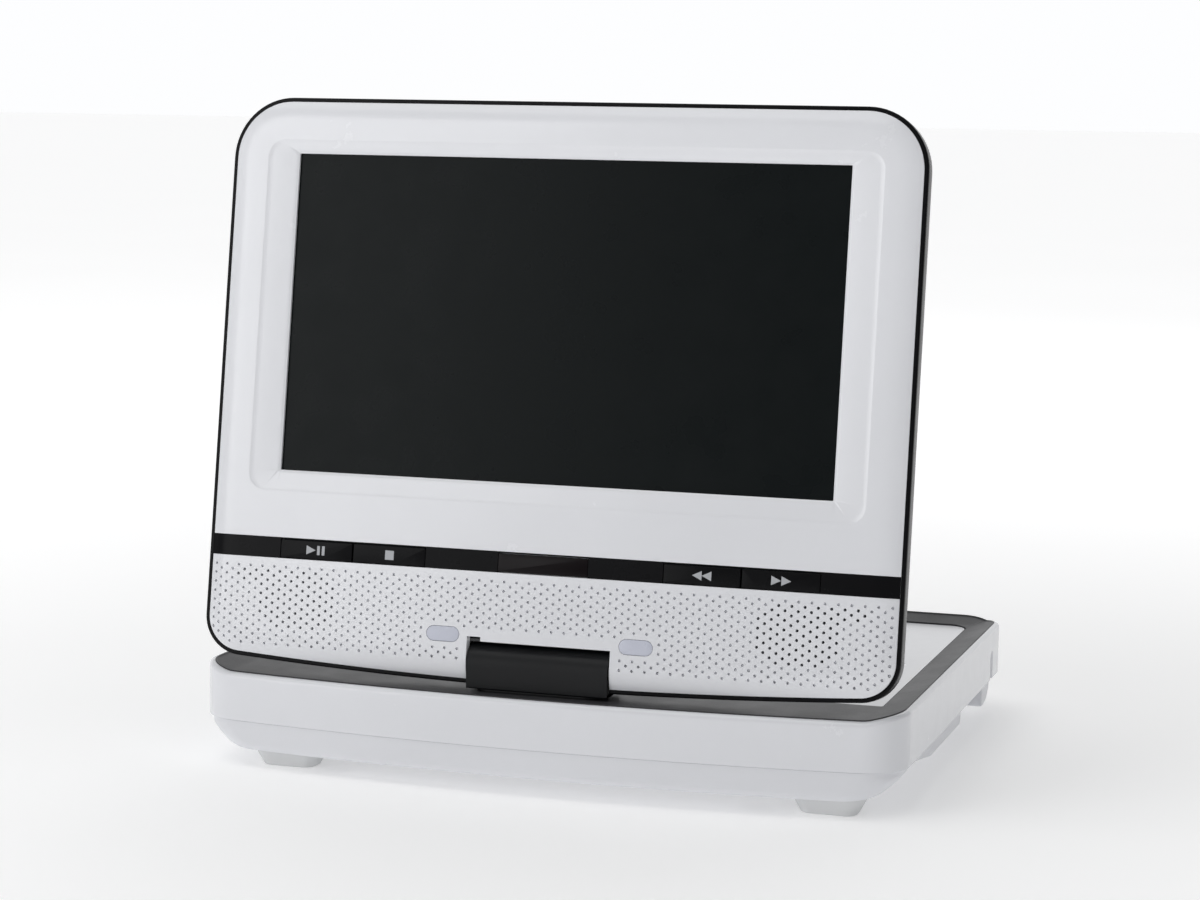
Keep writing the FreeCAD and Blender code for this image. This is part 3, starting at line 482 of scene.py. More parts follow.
def add_piece(obj, body, slot, *, mat=None, replaces=(), angle=32.0, weighted=False):
    """Material, shading and body of a finished piece, and the CAD nodes it stands for."""
    obj.data.materials.clear()
    obj.data.materials.append(MAT[mat or slot])
    shade(obj, angle)
    if weighted:
        obj.modifiers.new("normals", "WEIGHTED_NORMAL").keep_sharp = True
    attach(obj, body)
    if replaces:
        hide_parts(*replaces)


# ==== screen ======================================================================================

def dot_grid():
    """Centres of the speaker field's dots, each with whether it is an open hole."""
    spans = {1: (64.2, 88.9), 2: (62.5, 88.9), 3: (59.2, 88.9), 12: (62.5, 79.5), 13: (64.2, 78.2)}
    out = []
    for k in range(18):
        y = GRILLE_TOP - ROW * k
        for n in range(-27, 28):
            x = PITCH * (n + 0.5 * (k % 2))
            a = abs(x)
            limit = 94.3 - 1.745 * max(k - 14, 0)
            near_pad = abs(a - PAD_X) < 5.6 and abs(y - PAD_Y) < 2.8
            if a > limit or (k >= 11 and a < 22.5) or near_pad:
                continue
            lo, hi = spans.get(k, (59.2, 80.4) if 3 < k < 12 else (1.0, 0.0))
            out.append((x, y, lo <= a <= hi))
    return out


def crown_drop(d):
    """How far the front surface has rolled back at distance d in from its edge."""
    if d >= CROWN_W:
        return 0.0
    return (HALF_T - BEZEL_EDGE) * (1 - max(d, 0) / CROWN_W) ** 2.28


def edge_distance(x, y):
    """Distance in from the bezel's outline."""
    hw, top, r = SCREEN_HALF_W, SCREEN_TOP, SCREEN_TOP_R
    ax = abs(x)
    d = min(hw - ax, top - y)
    if ax > hw - r and y > top - r:
        d = r - math.hypot(ax - hw + r, y - top + r)
    low_c = SCREEN_LOW + SCREEN_BOW_R
    if y < 40:
        d_low = SCREEN_BOW_R - math.hypot(x, y - low_c)
        cx = hw - SCREEN_LOW_R
        cy = low_c - math.sqrt((SCREEN_BOW_R - SCREEN_LOW_R) ** 2 - cx ** 2)
        if ax > cx and y < cy:
            d = SCREEN_LOW_R - math.hypot(ax - cx, y - cy)
        else:
            d = min(hw - ax, d_low)
    return d


def make_front_bezel():
    """Height-field skin over a constrained triangulation, with walls and a back."""
    pts, edges = [], []

    def loop(ring, closed=True):
        base = len(pts)
        pts.extend(Vector((p[0], p[1])) for p in ring)
        n = len(ring)
        edges.extend((base + k, base + (k + 1) % n) for k in range(n if closed else n - 1))

    def circle(x, y, radius):
        loop([(x + radius * math.cos(math.pi * k / 5), y + radius * math.sin(math.pi * k / 5))
              for k in range(10)])

    for inset in (0.0, 0.25, 0.6, 1.1, 1.8, 2.7, 3.8, 5.1, CROWN_W):
        loop(screen_ring(0, -inset))
    hx = LCD_W / 2 + 0.06
    y0, y1 = LCD_BOTTOM - 0.06, LCD_BOTTOM + LCD_H + 0.06
    step = (86.1, LCD_BOTTOM - 6.0, LCD_BOTTOM + 90.5, 5.0)
    for grow in (0.0, -0.35, -0.8, -1.6):
        loop(rect_outline(-step[0] - grow, step[0] + grow, step[1] - grow, step[2] + grow,
                          step[3] + grow, step[3] + grow))
    for grow in (0.0, 0.45, 0.9):
        loop(rect_outline(-hx - grow, hx + grow, y0 - grow, y1 + grow, 0.3 + grow, 0.3 + grow))
    n_cols = 60
    for y in (STRIP_Y0 - 0.12, STRIP_Y0, STRIP_Y1, STRIP_Y1 + 0.12):
        loop([(-99 + 198 * k / n_cols, y) for k in range(n_cols + 1)], closed=False)
    loop([(-NOTCH_HALF_W, -9), (-NOTCH_HALF_W, NOTCH_TOP + NOTCH_STEP),
          (NOTCH_STEP_X, NOTCH_TOP + NOTCH_STEP), (NOTCH_STEP_X, NOTCH_TOP),
          (NOTCH_HALF_W, NOTCH_TOP), (NOTCH_HALF_W, -9)])
    slots = [(a, b, KEY_Y0 - KEY_GAP, KEY_Y1 + KEY_GAP) for a, b in KEY_PAIRS]
    slots.append((-5, 5, KEY_Y0 + 0.2, KEY_Y1 - 0.2))
    for a, b, c, d in slots:
        loop([(a, c), (b, c), (b, d), (a, d)])
    pads = [(-PAD_X, PAD_Y), (PAD_X, PAD_Y)]
    for px, py in pads:
        loop([(px + PAD_STRAIGHT * s + PAD_R * math.cos(t), py + PAD_R * math.sin(t))
              for s, t0 in ((1, -math.pi / 2), (-1, math.pi / 2))
              for t in (t0 + math.pi * k / 10 for k in range(11))])
    dots = dot_grid()
    depth = {}
    for x, y, hole in dots:
        if hole:
            circle(x, y, HOLE_R)
            continue
        circle(x, y, DIMPLE_R)
        depth.update({len(pts) + k: DIMPLE_DEPTH for k in range(10)})
        circle(x, y, DIMPLE_FLOOR_R)
    out_pts, _, tris, orig, _, _ = delaunay_2d_cdt(pts, edges, [], 0, 1e-5)
    sunk = [max((depth.get(i, 0.0) for i in ids), default=0.0) for ids in orig]
    holes = {}
    for x, y, hole in dots:
        if hole:
            holes.setdefault(round((GRILLE_TOP - y) / ROW), []).append(x)

    def in_hole(x, y):
        k = round((GRILLE_TOP - y) / ROW)
        yy = GRILLE_TOP - ROW * k
        return any(math.hypot(x - hole_x, y - yy) < HOLE_R - 0.01 for hole_x in holes.get(k, ()))

    def level(x, y):
        """None where the bezel is open, else which surface the spot lies on."""
        if edge_distance(x, y) < 0 or (abs(x) < hx and y0 < y < y1):
            return None
        if abs(x) < NOTCH_HALF_W and y < NOTCH_TOP + (NOTCH_STEP if x < NOTCH_STEP_X else 0.0):
            return None
        if any(a < x < b and c < y < d for a, b, c, d in slots) or in_hole(x, y):
            return None
        if STRIP_Y0 < y < STRIP_Y1:
            return "strip"
        for px, py in pads:
            if math.hypot(max(abs(x - px) - PAD_STRAIGHT, 0), y - py) < PAD_R - 0.02:
                return "pad"
        return "top"

    def funnel(x, y):
        """Depth of the dished surround between the step line and the window."""
        gx = max(abs(x) - hx, y0 - y, y - y1, 0.0)
        inside = min(step[0] - abs(x), y - step[1], step[2] - y)
        corner = step[3]
        if abs(x) > step[0] - corner and (y < step[1] + corner or y > step[2] - corner):
            dy = (step[1] + corner - y) if y < step[1] + corner else (y - step[2] + corner)
            inside = min(inside, corner - math.hypot(abs(x) - step[0] + corner, dy))
        if inside <= 0:
            return 0.0
        share = inside / (inside + gx)
        lip = min(inside / 0.8, 1.0) * 0.16
        bevel = 0.34 * max(0.0, 1 - gx / 0.9)
        return lip + 0.55 * share + bevel

    def height(i, lev):
        x, y = out_pts[i]
        if lev == "strip":
            return min(STRIP_FLOOR, HALF_T - crown_drop(edge_distance(x, y)) - 0.45)
        if lev == "pad":
            return 4.8
        h = HALF_T - crown_drop(edge_distance(x, y)) - funnel(x, y) - sunk[i]
        if min(abs(y - STRIP_Y0), abs(y - STRIP_Y1)) < 0.02:
            h -= 0.07
        return h

    def back(x, y):
        return 3.7 if abs(x) < 83 and LCD_BOTTOM - 5 < y < LCD_BOTTOM + 92 else BEZEL_BACK

    verts, faces, index = [], [], {}

    def vertex(i, lev):
        key = (i, lev)
        if key not in index:
            x, y = out_pts[i]
            index[key] = len(verts)
            verts.append((x, y, back(x, y) if lev == "back" else height(i, lev)))
        return index[key]

    sides = {}
    for tri in tris:
        cx = sum(out_pts[i][0] for i in tri) / 3
        cy = sum(out_pts[i][1] for i in tri) / 3
        lev = level(cx, cy)
        if lev is None:
            continue
        faces.append(tuple(vertex(i, lev) for i in tri))
        faces.append(tuple(vertex(i, "back") for i in reversed(tri)))
        for k in range(3):
            a, b = tri[k], tri[(k + 1) % 3]
            sides.setdefault((min(a, b), max(a, b)), []).append((a, b, lev))
    for owners in sides.values():
        a, b, lev = owners[0]
        if len(owners) == 1:
            faces.append((vertex(b, lev), vertex(a, lev), vertex(a, "back"), vertex(b, "back")))
        elif owners[1][2] != lev:
            other = owners[1][2]
            faces.append((vertex(b, lev), vertex(a, lev), vertex(a, other), vertex(b, other)))
    obj = build("bezel", stood((verts, faces)))
    add_piece(obj, "screen", "white_gloss", replaces=("front_bezel",), angle=38.0, weighted=True)


def make_rear_cover():
    """Dished back shell: the rings are (height, offset from the screen's outline)."""
    outer = [(3.9, 0.78), (3.88, 0.9), (3.8, 1.02), (3.62, 1.14), (3.3, 1.22), (2.6, 1.25),
             (-0.6, 1.22), (-1.8, 0.9), (-2.8, 0.25), (-3.6, -0.75), (-4.25, -2.0), (-4.75, -3.6),
             (-5.1, -5.4), (-5.36, -7.6), (-5.47, -10.0), (-5.5, -13.0)]
    inner = [(-3.9, -5.0), (-3.6, -3.0), (-2.0, -0.95), (3.0, -0.95), (3.0, 0.08), (3.88, 0.08)]
    rings = [screen_ring(n, off) for n, off in inner + outer]
    obj = build("housing_back", stood(ring_mesh(rings)))
    boolean(obj, stood(box_mesh(-21.8, 21.8, -3.9, NOTCH_TOP + 2.6, -5.2, 3.0)), "UNION")
    boolean(obj, stood(box_mesh(-NOTCH_HALF_W, NOTCH_HALF_W, -9, NOTCH_TOP + 0.4, -8, 8)))
    tube_v, tube_f = drum([(2.3, -30.0), (2.3, 30.0)], 0, 0, 32)
    boolean(obj, stood(([(z, y, -x) for x, y, z in tube_v], tube_f)))
    # shallow frame line, and four bump pads that keep the back off the lid
    groove = [at(rect_outline(-84 - g, 84 + g, 18 - g, 138 + g, 9 + g, 9 + g), n)
              for g, n in ((0.0, -5.8), (0.0, -5.12), (0.9, -5.12), (0.9, -5.8))]
    boolean(obj, stood(ring_mesh(groove, closed=True)))
    add_piece(obj, "screen", "black_gloss", replaces=("rear_cover",), angle=34.0, weighted=True)
    pad = [(3.4, -5.3), (3.4, -5.62), (3.1, -5.72), (2.4, -5.72), (0.6, -5.72)]
    for k, (x, y) in enumerate(BUMP_PADS):
        bump = build("back_bump_%d" % (k + 1), stood(drum(pad, x, y, 32)))
        add_piece(bump, "screen", "black_satin", mat="dark_rubber")


def make_controls():
    """Black strip, its four keys with their icons, the IR pane and the two screw caps."""
    span = [-STRIP_HALF_W + 2 * STRIP_HALF_W * k / 120 for k in range(121)]
    edge_lift = 0.1

    def strip_part(x0, x1, y0, y1):
        """Length of the strip between two x, following the crowned front."""
        e = min(0.16, (y1 - y0) / 3)
        rings = []
        for x in [x0] + [x for x in span if x0 + 0.3 < x < x1 - 0.3] + [x1]:
            top = HALF_T - crown_drop(edge_distance(x, (y0 + y1) / 2)) - 0.04
            floor = min(STRIP_FLOOR, top - 0.4)
            rings.append([(x, y0, floor), (x, y1, floor), (x, y1, top - edge_lift),
                          (x, y1 - e, top), (x, y0 + e, top), (x, y0, top - edge_lift)])
        return ring_mesh(rings)

    lo, hi = STRIP_Y0 + 0.05, STRIP_Y1 - 0.05
    parts = []
    cuts = [KEY_PAIRS[0], (-IR_HALF - 0.08, IR_HALF + 0.08), KEY_PAIRS[1]]
    ends = [-STRIP_HALF_W] + [x for cut in cuts for x in cut] + [STRIP_HALF_W]
    for a, b in zip(ends[::2], ends[1::2]):
        parts.append(strip_part(a, b, lo, hi))
    for a, b in cuts:
        parts.append(strip_part(a, b, lo, KEY_Y0 - KEY_GAP))
        parts.append(strip_part(a, b, KEY_Y1 + KEY_GAP, hi))
    strip = build("key_strip", stood(join_meshes(*parts)))
    add_piece(strip, "screen", "black_gloss", replaces=("control_strip",), angle=25.0)
    for key, (a, b) in KEYS.items():
        cap = soft_bar(a + 0.04, b - 0.04, KEY_Y0 + 0.02, KEY_Y1 - 0.02, 2.6, HALF_T + 0.02,
                       0.25, 0.22)
        foot = soft_bar(a + 0.25, b - 0.25, KEY_Y0 - 0.8, KEY_Y1 + 0.8, 2.36, 2.85, 0.2, 0.1)
        obj = build(key + "_cap", stood(join_meshes(cap, foot)))
        add_piece(obj, key, "black_gloss", replaces=(key + "_key",), angle=30.0)
    win = soft_bar(-IR_HALF, IR_HALF, KEY_Y0 + 0.05, KEY_Y1 - 0.05,
                   STRIP_FLOOR + 0.05, HALF_T - 0.02, 0.3, 0.15)
    pane = build("ir_pane", stood(win))
    add_piece(pane, "screen", "ir_tint", replaces=("ir_window",), angle=30.0)
    mid = (KEY_Y0 + KEY_Y1) / 2
    z0, z1 = HALF_T + 0.005, HALF_T + 0.035

    def tri(x0, x1, h=1.25):
        base = [(x0, mid - h), (x1, mid), (x0, mid + h)]
        v = [(x, y, z) for z in (z0, z1) for x, y in base]
        return v, [(0, 2, 1), (3, 4, 5), (0, 1, 4, 3), (1, 2, 5, 4), (2, 0, 3, 5)]

    def bar(x0, x1, h=1.25):
        return box_mesh(x0, x1, mid - h, mid + h, z0, z1)

    icons = {
        "play_pause": [tri(-67.6, -64.9), bar(-64.5, -63.7), bar(-63.1, -62.3)],
        "stop": [bar(-44.7, -42.2)],
        "rewind": [tri(43.6, 41.0), tri(46.2, 43.6)],
        "forward": [tri(62.2, 64.8), tri(64.9, 67.5)],
    }
    for key, shapes in icons.items():
        obj = build(key + "_icon", stood(join_meshes(*shapes)))
        add_piece(obj, key, "lavender", mat="print")
    for s, side in ((-1, "left"), (1, "right")):
        x = s * PAD_X
        cap = soft_bar(x - 4.6, x + 4.6, PAD_Y - 2.0, PAD_Y + 2.0, 4.82, HALF_T + 0.08, 1.98, 0.22)
        obj = build(side + "_screw_cap", stood(cap))
        add_piece(obj, "screen", "lavender", replaces=("screw_cover_pads",))


# ==== hinge =======================================================================================

def make_hinge():
    """Barrel with a square foot, and the plate it turns on."""
    low = 26.9 - AXIS_Z
    half_w, r = 19.65, 5.8

    def section(x, inset):
        rr = r - inset
        turn = [math.pi * k / 28 for k in range(29)]
        arc = [(x, rr * math.cos(a), rr * math.sin(a)) for a in turn]
        foot = [(x, -rr, low + 0.4), (x, -rr + 0.3, low + 0.1), (x, rr - 0.3, low + 0.1),
                (x, rr, low + 0.4)]
        return arc + foot

    edge = 1.0
    bevel = [edge * down for down, _ in quarter_turn(6)]
    rings = [section(e - half_w, e) for e in bevel] + [section(0.0, 0.0)]
    rings += [section(half_w - e, e) for e in reversed(bevel)]
    verts, faces = ring_mesh(rings)
    obj = build("hinge_barrel", ([(x, y + AXIS_Y, z + AXIS_Z) for x, y, z in verts], faces))
    groove = box_mesh(-16.6, 16.6, AXIS_Y + 5.2, AXIS_Y + 9, AXIS_Z - 4.2, AXIS_Z - 3.7)
    boolean(obj, groove)
    add_piece(obj, "hinge", "black_satin", replaces=("hinge_block",), angle=30.0, weighted=True)
    plate = soft_bar(-18.2, 18.2, AXIS_Y - 5.4, AXIS_Y + 5.4, TRAY_Z + 0.1, 26.95, 5.3, 0.2)
    add_piece(build("hinge_foot", plate), "hinge", "black_satin", replaces=("swivel_plate",))


# ==== base ========================================================================================

def dish(x, y):
    """Height of the dished top, with a soft crease where the tray turns up."""
    d = max(abs(x) - LID_HALF_W, y - LID_Y1)
    return TRAY_Z + SLOPE * (d + math.sqrt(d * d + 0.5)) / 2


def dish_less(drop):
    return lambda x, y: dish(x, y) - drop


def make_upper_shell():
    """Side wall with its sockets and controls, the dished top's outer edge, and the posts."""
    rings = [base_ring(SEAM_Z, 0.16), base_ring(SEAM_Z + 0.05, 0.05), base_ring(SEAM_Z + 0.2, 0.0),
             base_ring(18.0), base_ring(22.5)]
    roll = 1.55
    for down, inward in quarter_turn(6):
        rings.append(base_ring(dish_less(roll * down), roll * inward))
    rings.append(base_ring(dish_less(0.25), RIM_INSET - 0.02))
    rings.append(base_ring(RIM_FLOOR, RIM_INSET - 0.02))
    well = rect_outline(1.5 - LID_HALF_W, LID_HALF_W - 1.5, LID_Y0 - 0.8, LID_Y1 - 1.5, 1.0, 4.0)
    rings.append(at(well, RIM_FLOOR))
    rings.append(at(well, PLATE_Z))
    rings.append(base_ring(PLATE_Z, WALL))
    rings.append(base_ring(SEAM_Z, WALL))
    obj = build("base_upper", ring_mesh(rings, closed=True))
    x0, x1 = -BASE_HALF_W - 1, -BASE_HALF_W + 5

    def across(r, y, z, n=40):
        v, f = drum([(r, x0), (r, x1)], 0, 0, n)
        return [(zz, xx + y, yy + z) for xx, yy, zz in v], f

    tools = [across(3.5, y, JACK_Z) for y in PHONE_YS + (AV_Y,)] + [across(4.1, DC_Y, JACK_Z)]
    big = 30.0
    scoop = drum([(big, SIDE_Z - 3.2), (big, SIDE_Z + 3.2)],
                 -BASE_HALF_W - big + 1.1, DIAL_Y, 240)
    slot_d = box_mesh(x0, x1 - 1, DIAL_Y - 6.6, DIAL_Y + 6.6, SIDE_Z - 1.4, SIDE_Z + 1.4)
    slot_p = box_mesh(x0, x1 - 1, SWITCH_Y - 4.6, SWITCH_Y + 4.6, SIDE_Z - 1.3, SIDE_Z + 1.3)
    seat_p = soft_bar(SWITCH_Y - 7, SWITCH_Y + 7, SIDE_Z - 2.2, SIDE_Z + 2.2, x0, x0 + 2.1,
                      1.0, 0.2)
    seat_p = [(z, x, y) for x, y, z in seat_p[0]], seat_p[1]
    hook = box_mesh(-6.2, 6.2, LID_Y1 - 2, LID_Y1 + 6.4, PLATE_Z - 1, RIM_FLOOR + 0.5)
    bore = drum([(SWIVEL_BORE_R, 20.0), (SWIVEL_BORE_R, 30.0)], 0, AXIS_Y, 40)
    groove = [(3.2, SEAM_Z - 1)]
    for a in (math.pi / 2 * k / 8 for k in range(8)):
        groove.append((3.2 * math.cos(a), 19.5 + 3.2 * math.sin(a)))
    groove.append((0.05, 22.7))
    for s in (-1, 1):
        tools.append(drum(groove, s * (BASE_HALF_W + 2.3), GROOVE_Y, 40))
        tools.append(box_mesh(min(s * 87, s * 89.4), max(s * 87, s * 89.4),
                              LID_Y0 - 0.8, -50.2, 23.3, LIP_Z))
    for tool in tools + [scoop, slot_d, slot_p, seat_p, hook, bore]:
        boolean(obj, tool)
    add_piece(obj, "base", "white_gloss", replaces=("base_upper_shell",), angle=34.0, weighted=True)
    posts = [drum([(POST_R, 9.0), (POST_R, PLATE_Z)], x, y, 24) for x, y in POSTS]
    boss = drum([(7.5, 15.0), (7.5, PLATE_Z)], 0, AXIS_Y, 40)
    inside = build("base_posts", join_meshes(boss, *posts))
    boolean(inside, drum([(SWIVEL_BORE_R, 12.0), (SWIVEL_BORE_R, 30.0)], 0, AXIS_Y, 40))
    add_piece(inside, "base", "white_satin")


def make_rim():
    """Dark frame from the white edge to the lid, with the latch slot and the lid's pin holes."""
    def lid_outline(grow):
        return rect_outline(-LID_HALF_W - grow, LID_HALF_W + grow, LID_Y0 - grow, LID_Y1 + grow,
                            0.8 + grow, LID_CORNER_R + grow)

    edge = RIM_INSET + 0.08
    rings = [base_ring(RIM_FLOOR + 0.05, edge), base_ring(dish_less(0.3), edge),
             base_ring(dish_less(-0.12), edge + 0.04), base_ring(dish_less(-0.26), edge + 0.16),
             base_ring(dish_less(-0.3), edge + 0.32), base_ring(dish_less(-0.22), edge + 0.5)]
    steps = 22
    start = [(x, y) for x, y, _ in base_ring(0, edge + 0.75)]
    goal = lid_outline(0.3)
    for k in range(steps + 1):
        t = k / steps
        mix = [(a[0] + (b[0] - a[0]) * t, a[1] + (b[1] - a[1]) * t) for a, b in zip(start, goal)]
        rings.append(at(mix, dish))
    rings.append(at(lid_outline(0.1), dish_less(0.08)))
    rings.append(at(lid_outline(0.0), dish_less(0.3)))
    rings.append(at(lid_outline(0.0), RIM_FLOOR + 0.05))
    obj = build("rim_frame", ring_mesh(rings, closed=True))
    boolean(obj, soft_bar(-12.2, 12.2, 74.0, 80.0, RIM_FLOOR - 1, LIP_Z + 3, 2.2, 0.1))
    boolean(obj, drum([(4.4, 20.0), (4.4, 30.0)], 0, AXIS_Y, 40))
    boolean(obj, box_mesh(-6.2, 6.2, LID_Y1 - 1, 74.5, RIM_FLOOR - 1, RIM_FLOOR + 0.2))
    for s in (-1, 1):
        v, f = drum([(LID_PIN_R, 88.0), (LID_PIN_R, 91.0)], 0, 0, 20)
        boolean(obj, ([(s * z, y + LID_PIN_Y, x + LID_PIN_Z) for x, y, z in v], f))
    add_piece(obj, "base", "grey_rim", replaces=("base_rim",), angle=28.0, weighted=True)


def make_lower_shell():
    """Tapered tub, as rows of (z, side, front and rear inset), with rails, lugs and vents."""
    rows = [(12.92, 1.95, 0.42, 1.95), (12.85, 1.82, 0.32, 1.85), (11.6, 1.8, 0.3, 1.8),
            (10.8, 2.0, 0.32, 1.8), (9.6, 2.9, 0.38, 1.86), (8.2, 4.3, 0.46, 2.0),
            (7.0, 5.7, 0.58, 2.2), (6.2, 6.75, 0.8, 2.5), (5.5, 8.0, 1.15, 3.1),
            (5.05, 9.2, 1.6, 3.9), (4.85, 10.3, 2.3, 4.9), (4.8, 11.6, 3.3, 6.0)]
    inside = [(6.6, 12.0, 5.0, 6.5), (7.2, 10.2, 3.2, 4.6), (9.6, 9.2, 2.4, 3.9),
              (12.9, 9.0, 2.3, 3.8)]
    rings = [base_ring(z, s, f, r) for z, s, f, r in inside + rows]
    obj = build("base_lower", ring_mesh(rings))
    top = SEAM_Z - 0.1
    rail = [(-46, top + 2), (-46, 10.4), (-25, 7.4), (18, 7.4), (20, top + 2)]
    lug = [(44, top + 2), (44, 7.4), (48.5, 7.4), (52, 8.2), (54.6, 10.0), (56.2, 12.0),
           (56.4, top + 2)]
    for s in (-1, 1):
        for x, y, z in ((TUB_HALF_W, TUB_Y0, 11.7), (94.0, 57.0, SEAM_Z + 1)):
            boolean(obj, box_mesh(min(s * x, s * 100), max(s * x, s * 100), y, 84, 3, z))
    blocks = []
    for s in (-1, 1):
        for k, (outline, r, x1) in enumerate(((rail, 1.2, RAIL_X), (lug, 0.9, LUG_X))):
            part = build("side_%d_%d" % (s, k), side_prism(outline, r, 88.0, x1, 0.5, s))
            boolean(part, box_mesh(min(s * 80, s * 100), max(s * 80, s * 100), -60, 60,
                                   top, top + 4))
            blocks.append(part)
    for part in blocks:
        merge(obj, part)
    tools = [drum([(2.4, 3.0), (2.4, 6.3)], x, y, 28) for x, y in POSTS]
    tools.append(soft_bar(-80, -40, -32, 42, 3.0, 8.0, 2.5, 0.1))
    for row in range(5):
        y = -44.0 + 4.4 * row
        tools.append(soft_bar(14, 44, y, y + 1.6, 3.0, 8.0, 0.75, 0.1))
    for tool in tools:
        boolean(obj, tool)
    add_piece(obj, "base", "white_satin", replaces=("base_lower_shell",), angle=34.0, weighted=True)


def make_feet():
    """Tapered rubber pads, as rows of (half width, half depth, corner radius, z)."""
    rows = [(7.2, 4.3, 3.0, 0.0), (7.5, 4.65, 3.3, 0.12), (7.7, 4.85, 3.5, 0.5),
            (8.2, 5.25, 3.8, 1.4), (8.8, 5.75, 4.0, 2.6), (9.45, 6.2, 4.3, 3.8),
            (10.0, 6.6, 4.5, 4.85)]
    for k, (x, y) in enumerate(FEET):
        rings = [at(rect_outline(x - a, x + a, y - b, y + b, r, r), z) for a, b, r, z in rows]
        obj = build("foot_%d" % (k + 1), ring_mesh(rings))
        add_piece(obj, "base", "foot_rubber", replaces=("rubber_feet",), angle=40.0)


def make_latch():
    """Ribbed slide button and the hook under it."""
    cap = soft_bar(-11.9, 11.9, 74.3, 78.0, RIM_FLOOR + 0.3, LIP_Z - 0.2, 1.8, 0.5)
    obj = build("latch_cap", cap)
    for y in (75.2, 76.1, 77.0):
        boolean(obj, soft_bar(-8, 8, y - 0.22, y + 0.22, LIP_Z - 0.7, LIP_Z + 1, 0.2, 0.05))
    stem = build("latch_hook", join_meshes(
        soft_bar(-5.5, 5.5, 74.6, 76.4, PLATE_Z + 0.9, RIM_FLOOR + 0.4, 0.3, 0.1),
        soft_bar(-4.5, 4.5, 71.75, 75.0, PLATE_Z + 0.9, PLATE_Z + 1.6, 0.2, 0.1)))
    add_piece(obj, "latch", "black_satin", replaces=("lid_latch_button",))
    add_piece(stem, "latch", "black_satin", replaces=("lid_latch_button",))


# ==== carried-over nodes ==========================================================================

# bevel width in mm on CAD nodes that are kept as they are
EDGE = {"disc_lid": 0.3, "disc_deck": 0.3, "battery_cover": 0.2, "battery_pack": 0.6,
        "mech_chassis": 0.12, "laser_sled": 0.25, "main_board": 0.08, "power_board": 0.08,
        "lcd_frame": 0.15, "lcd_glass": 0.05, "turntable_hub": 0.12, "lens_holder": 0.12,
        "headphone_jacks": 0.15, "av_jack": 0.15, "dc_jack": 0.15, "power_slider": 0.1,
        "power_switch_case": 0.15, "board_chips": 0.1, "sled_motor": 0.25, "spindle_motor": 0.3}


def dress_nodes():
    for name, obj in frame["nodes"].items():
        slot = NODE_SLOT[name]
        mats = obj.data.materials
        for k in range(max(len(mats), 1)):
            if k < len(mats):
                mats[k] = MAT[slot]
            else:
                mats.append(MAT[slot])
        if name in EDGE:
            mod = obj.modifiers.new("edge", "BEVEL")
            mod.width = EDGE[name] * MM
            mod.segments = 2
            mod.limit_method = "ANGLE"
            mod.angle_limit = math.radians(40)
            mod.use_clamp_overlap = True
            mod.harden_normals = False


# ==== stage =======================================================================================

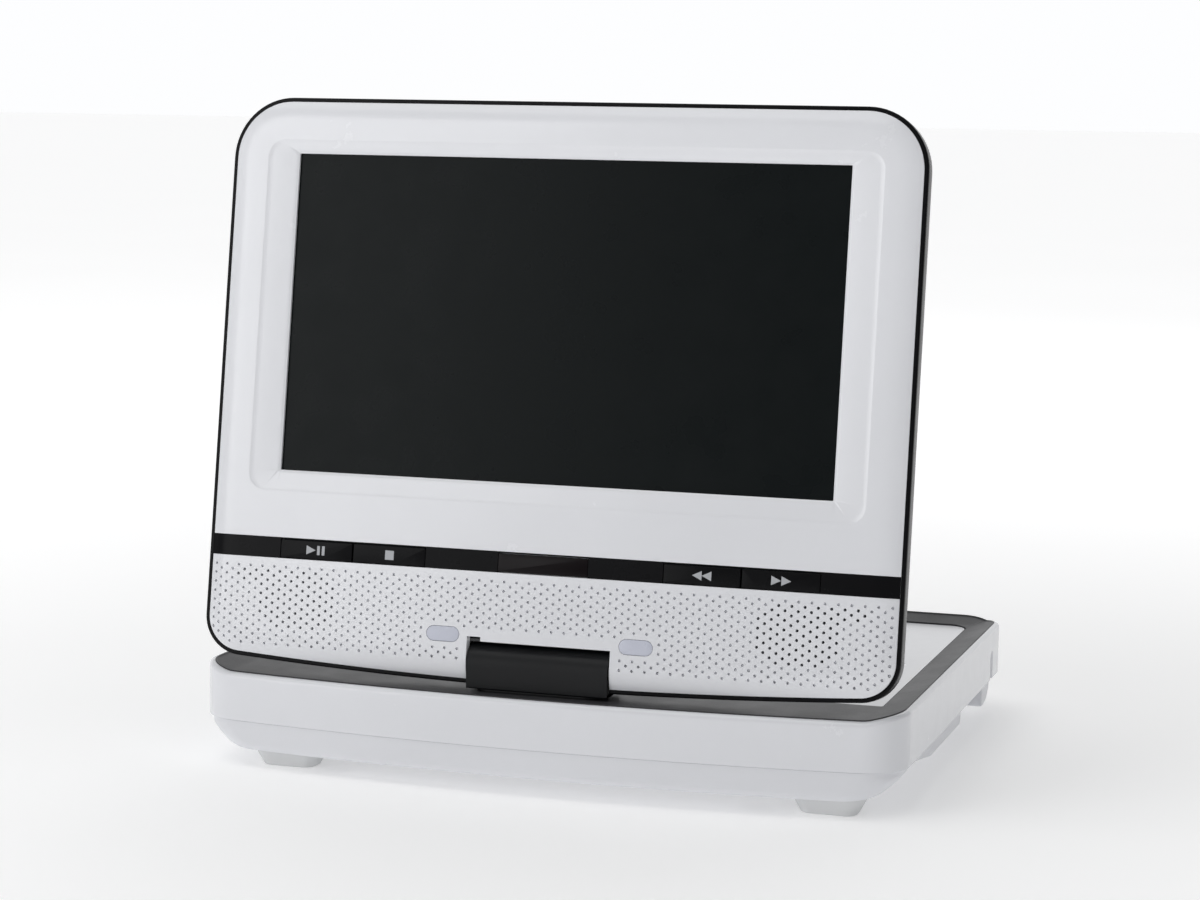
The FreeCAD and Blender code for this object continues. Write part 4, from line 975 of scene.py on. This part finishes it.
def make_stage():
    n = Nodes("floor_paper_painted_glow")
    tone = n.noise(3.0, 3.0)
    n.link(n.ramp(tone, [(0.3, (0.9, 0.9, 0.9, 1)), (0.7, (0.93, 0.93, 0.93, 1))]),
           n.bsdf.inputs["Base Color"])
    n.bsdf.inputs["Roughness"].default_value = 0.85
    n.bsdf.inputs["Specular IOR Level"].default_value = 0.1
    # painted light: the floor glows white, weakest right round the object as a painted soft shadow
    # and strongest far off, and this glow also lights the object's lower faces
    n.bsdf.inputs["Emission Color"].default_value = (1.0, 1.0, 1.0, 1)
    away = n.add("ShaderNodeVectorMath", operation="LENGTH")
    n.link(n.coord.outputs["Object"], away.inputs[0])
    n.link(n.span(away.outputs["Value"], 0.12, 0.75, 0.25, 0.6), n.bsdf.inputs["Emission Strength"])
    bpy.ops.mesh.primitive_plane_add(size=60, location=(0, 0, 0))
    floor = bpy.context.object
    floor.name = "floor"
    floor.data.materials.append(n.mat)
    world = bpy.data.worlds.new("studio")
    bpy.context.scene.world = world
    world.use_nodes = True
    tree = world.node_tree
    bg = tree.nodes["Background"]
    # a bright sweep behind the object, a dimmer room in front of it
    facing = tree.nodes.new("ShaderNodeVectorMath")
    facing.operation = "DOT_PRODUCT"
    facing.inputs[1].default_value = (-0.3, 0.954, 0.0)
    tree.links.new(tree.nodes.new("ShaderNodeTexCoord").outputs["Generated"], facing.inputs[0])
    depth = tree.nodes.new("ShaderNodeMapRange")
    for key, value in (("From Min", 0.3), ("From Max", 0.85), ("To Min", 0.24), ("To Max", 1.0)):
        depth.inputs[key].default_value = value
    tree.links.new(facing.outputs["Value"], depth.inputs["Value"])
    tree.links.new(depth.outputs["Result"], bg.inputs["Strength"])
    bg.inputs["Color"].default_value = (0.985, 0.99, 1.0, 1)


def area(name, location, target, size, power):
    light = bpy.data.lights.new(name, "AREA")
    light.shape = "RECTANGLE"
    light.size, light.size_y = size
    light.energy = power
    obj = bpy.data.objects.new(name, light)
    obj.location = location
    obj.rotation_euler = (Vector(target) - Vector(location)).to_track_quat("-Z", "Y").to_euler()
    bpy.context.scene.collection.objects.link(obj)


def make_lights():
    area("key_top", (-0.25, -0.35, 1.3), (0, 0, 0.05), (1.3, 1.0), 5.5)
    area("front_left", (-0.9, -1.3, 0.55), (0, 0, 0.1), (0.9, 0.9), 5.3)
    area("back_rim", (0.3, 1.3, 0.9), (0, 0, 0.1), (1.2, 0.6), 1.0)


def make_camera():
    """Long lens, a little above the object and to its right."""
    focal, azimuth, elevation, roll, reach = 85.74, 17.328, 6.855, 0.895, 0.82247
    target = Vector((-0.006786, 0.0, 0.083216))
    a, e, r = (math.radians(v) for v in (azimuth, elevation, roll))
    back = Vector((math.sin(a) * math.cos(e), -math.cos(a) * math.cos(e), math.sin(e)))
    right0 = (-back).cross(Vector((0, 0, 1))).normalized()
    up0 = right0.cross(-back)
    right = right0 * math.cos(r) + up0 * math.sin(r)
    up = -right0 * math.sin(r) + up0 * math.cos(r)
    place = target + back * reach
    cam = bpy.data.cameras.new("camera")
    cam.lens = focal
    cam.sensor_width = 36.0
    cam.clip_start, cam.clip_end = 0.05, 80.0
    obj = bpy.data.objects.new("camera", cam)
    obj.matrix_world = Matrix(((right.x, up.x, back.x, place.x), (right.y, up.y, back.y, place.y),
                               (right.z, up.z, back.z, place.z), (0, 0, 0, 1)))
    bpy.context.scene.collection.objects.link(obj)
    bpy.context.scene.camera = obj
    bpy.context.scene.view_settings.view_transform = "Standard"


make_front_bezel()
make_rear_cover()
make_controls()
make_hinge()
make_upper_shell()
make_rim()
make_lower_shell()
make_feet()
make_latch()
dress_nodes()
make_stage()
make_lights()
make_camera()
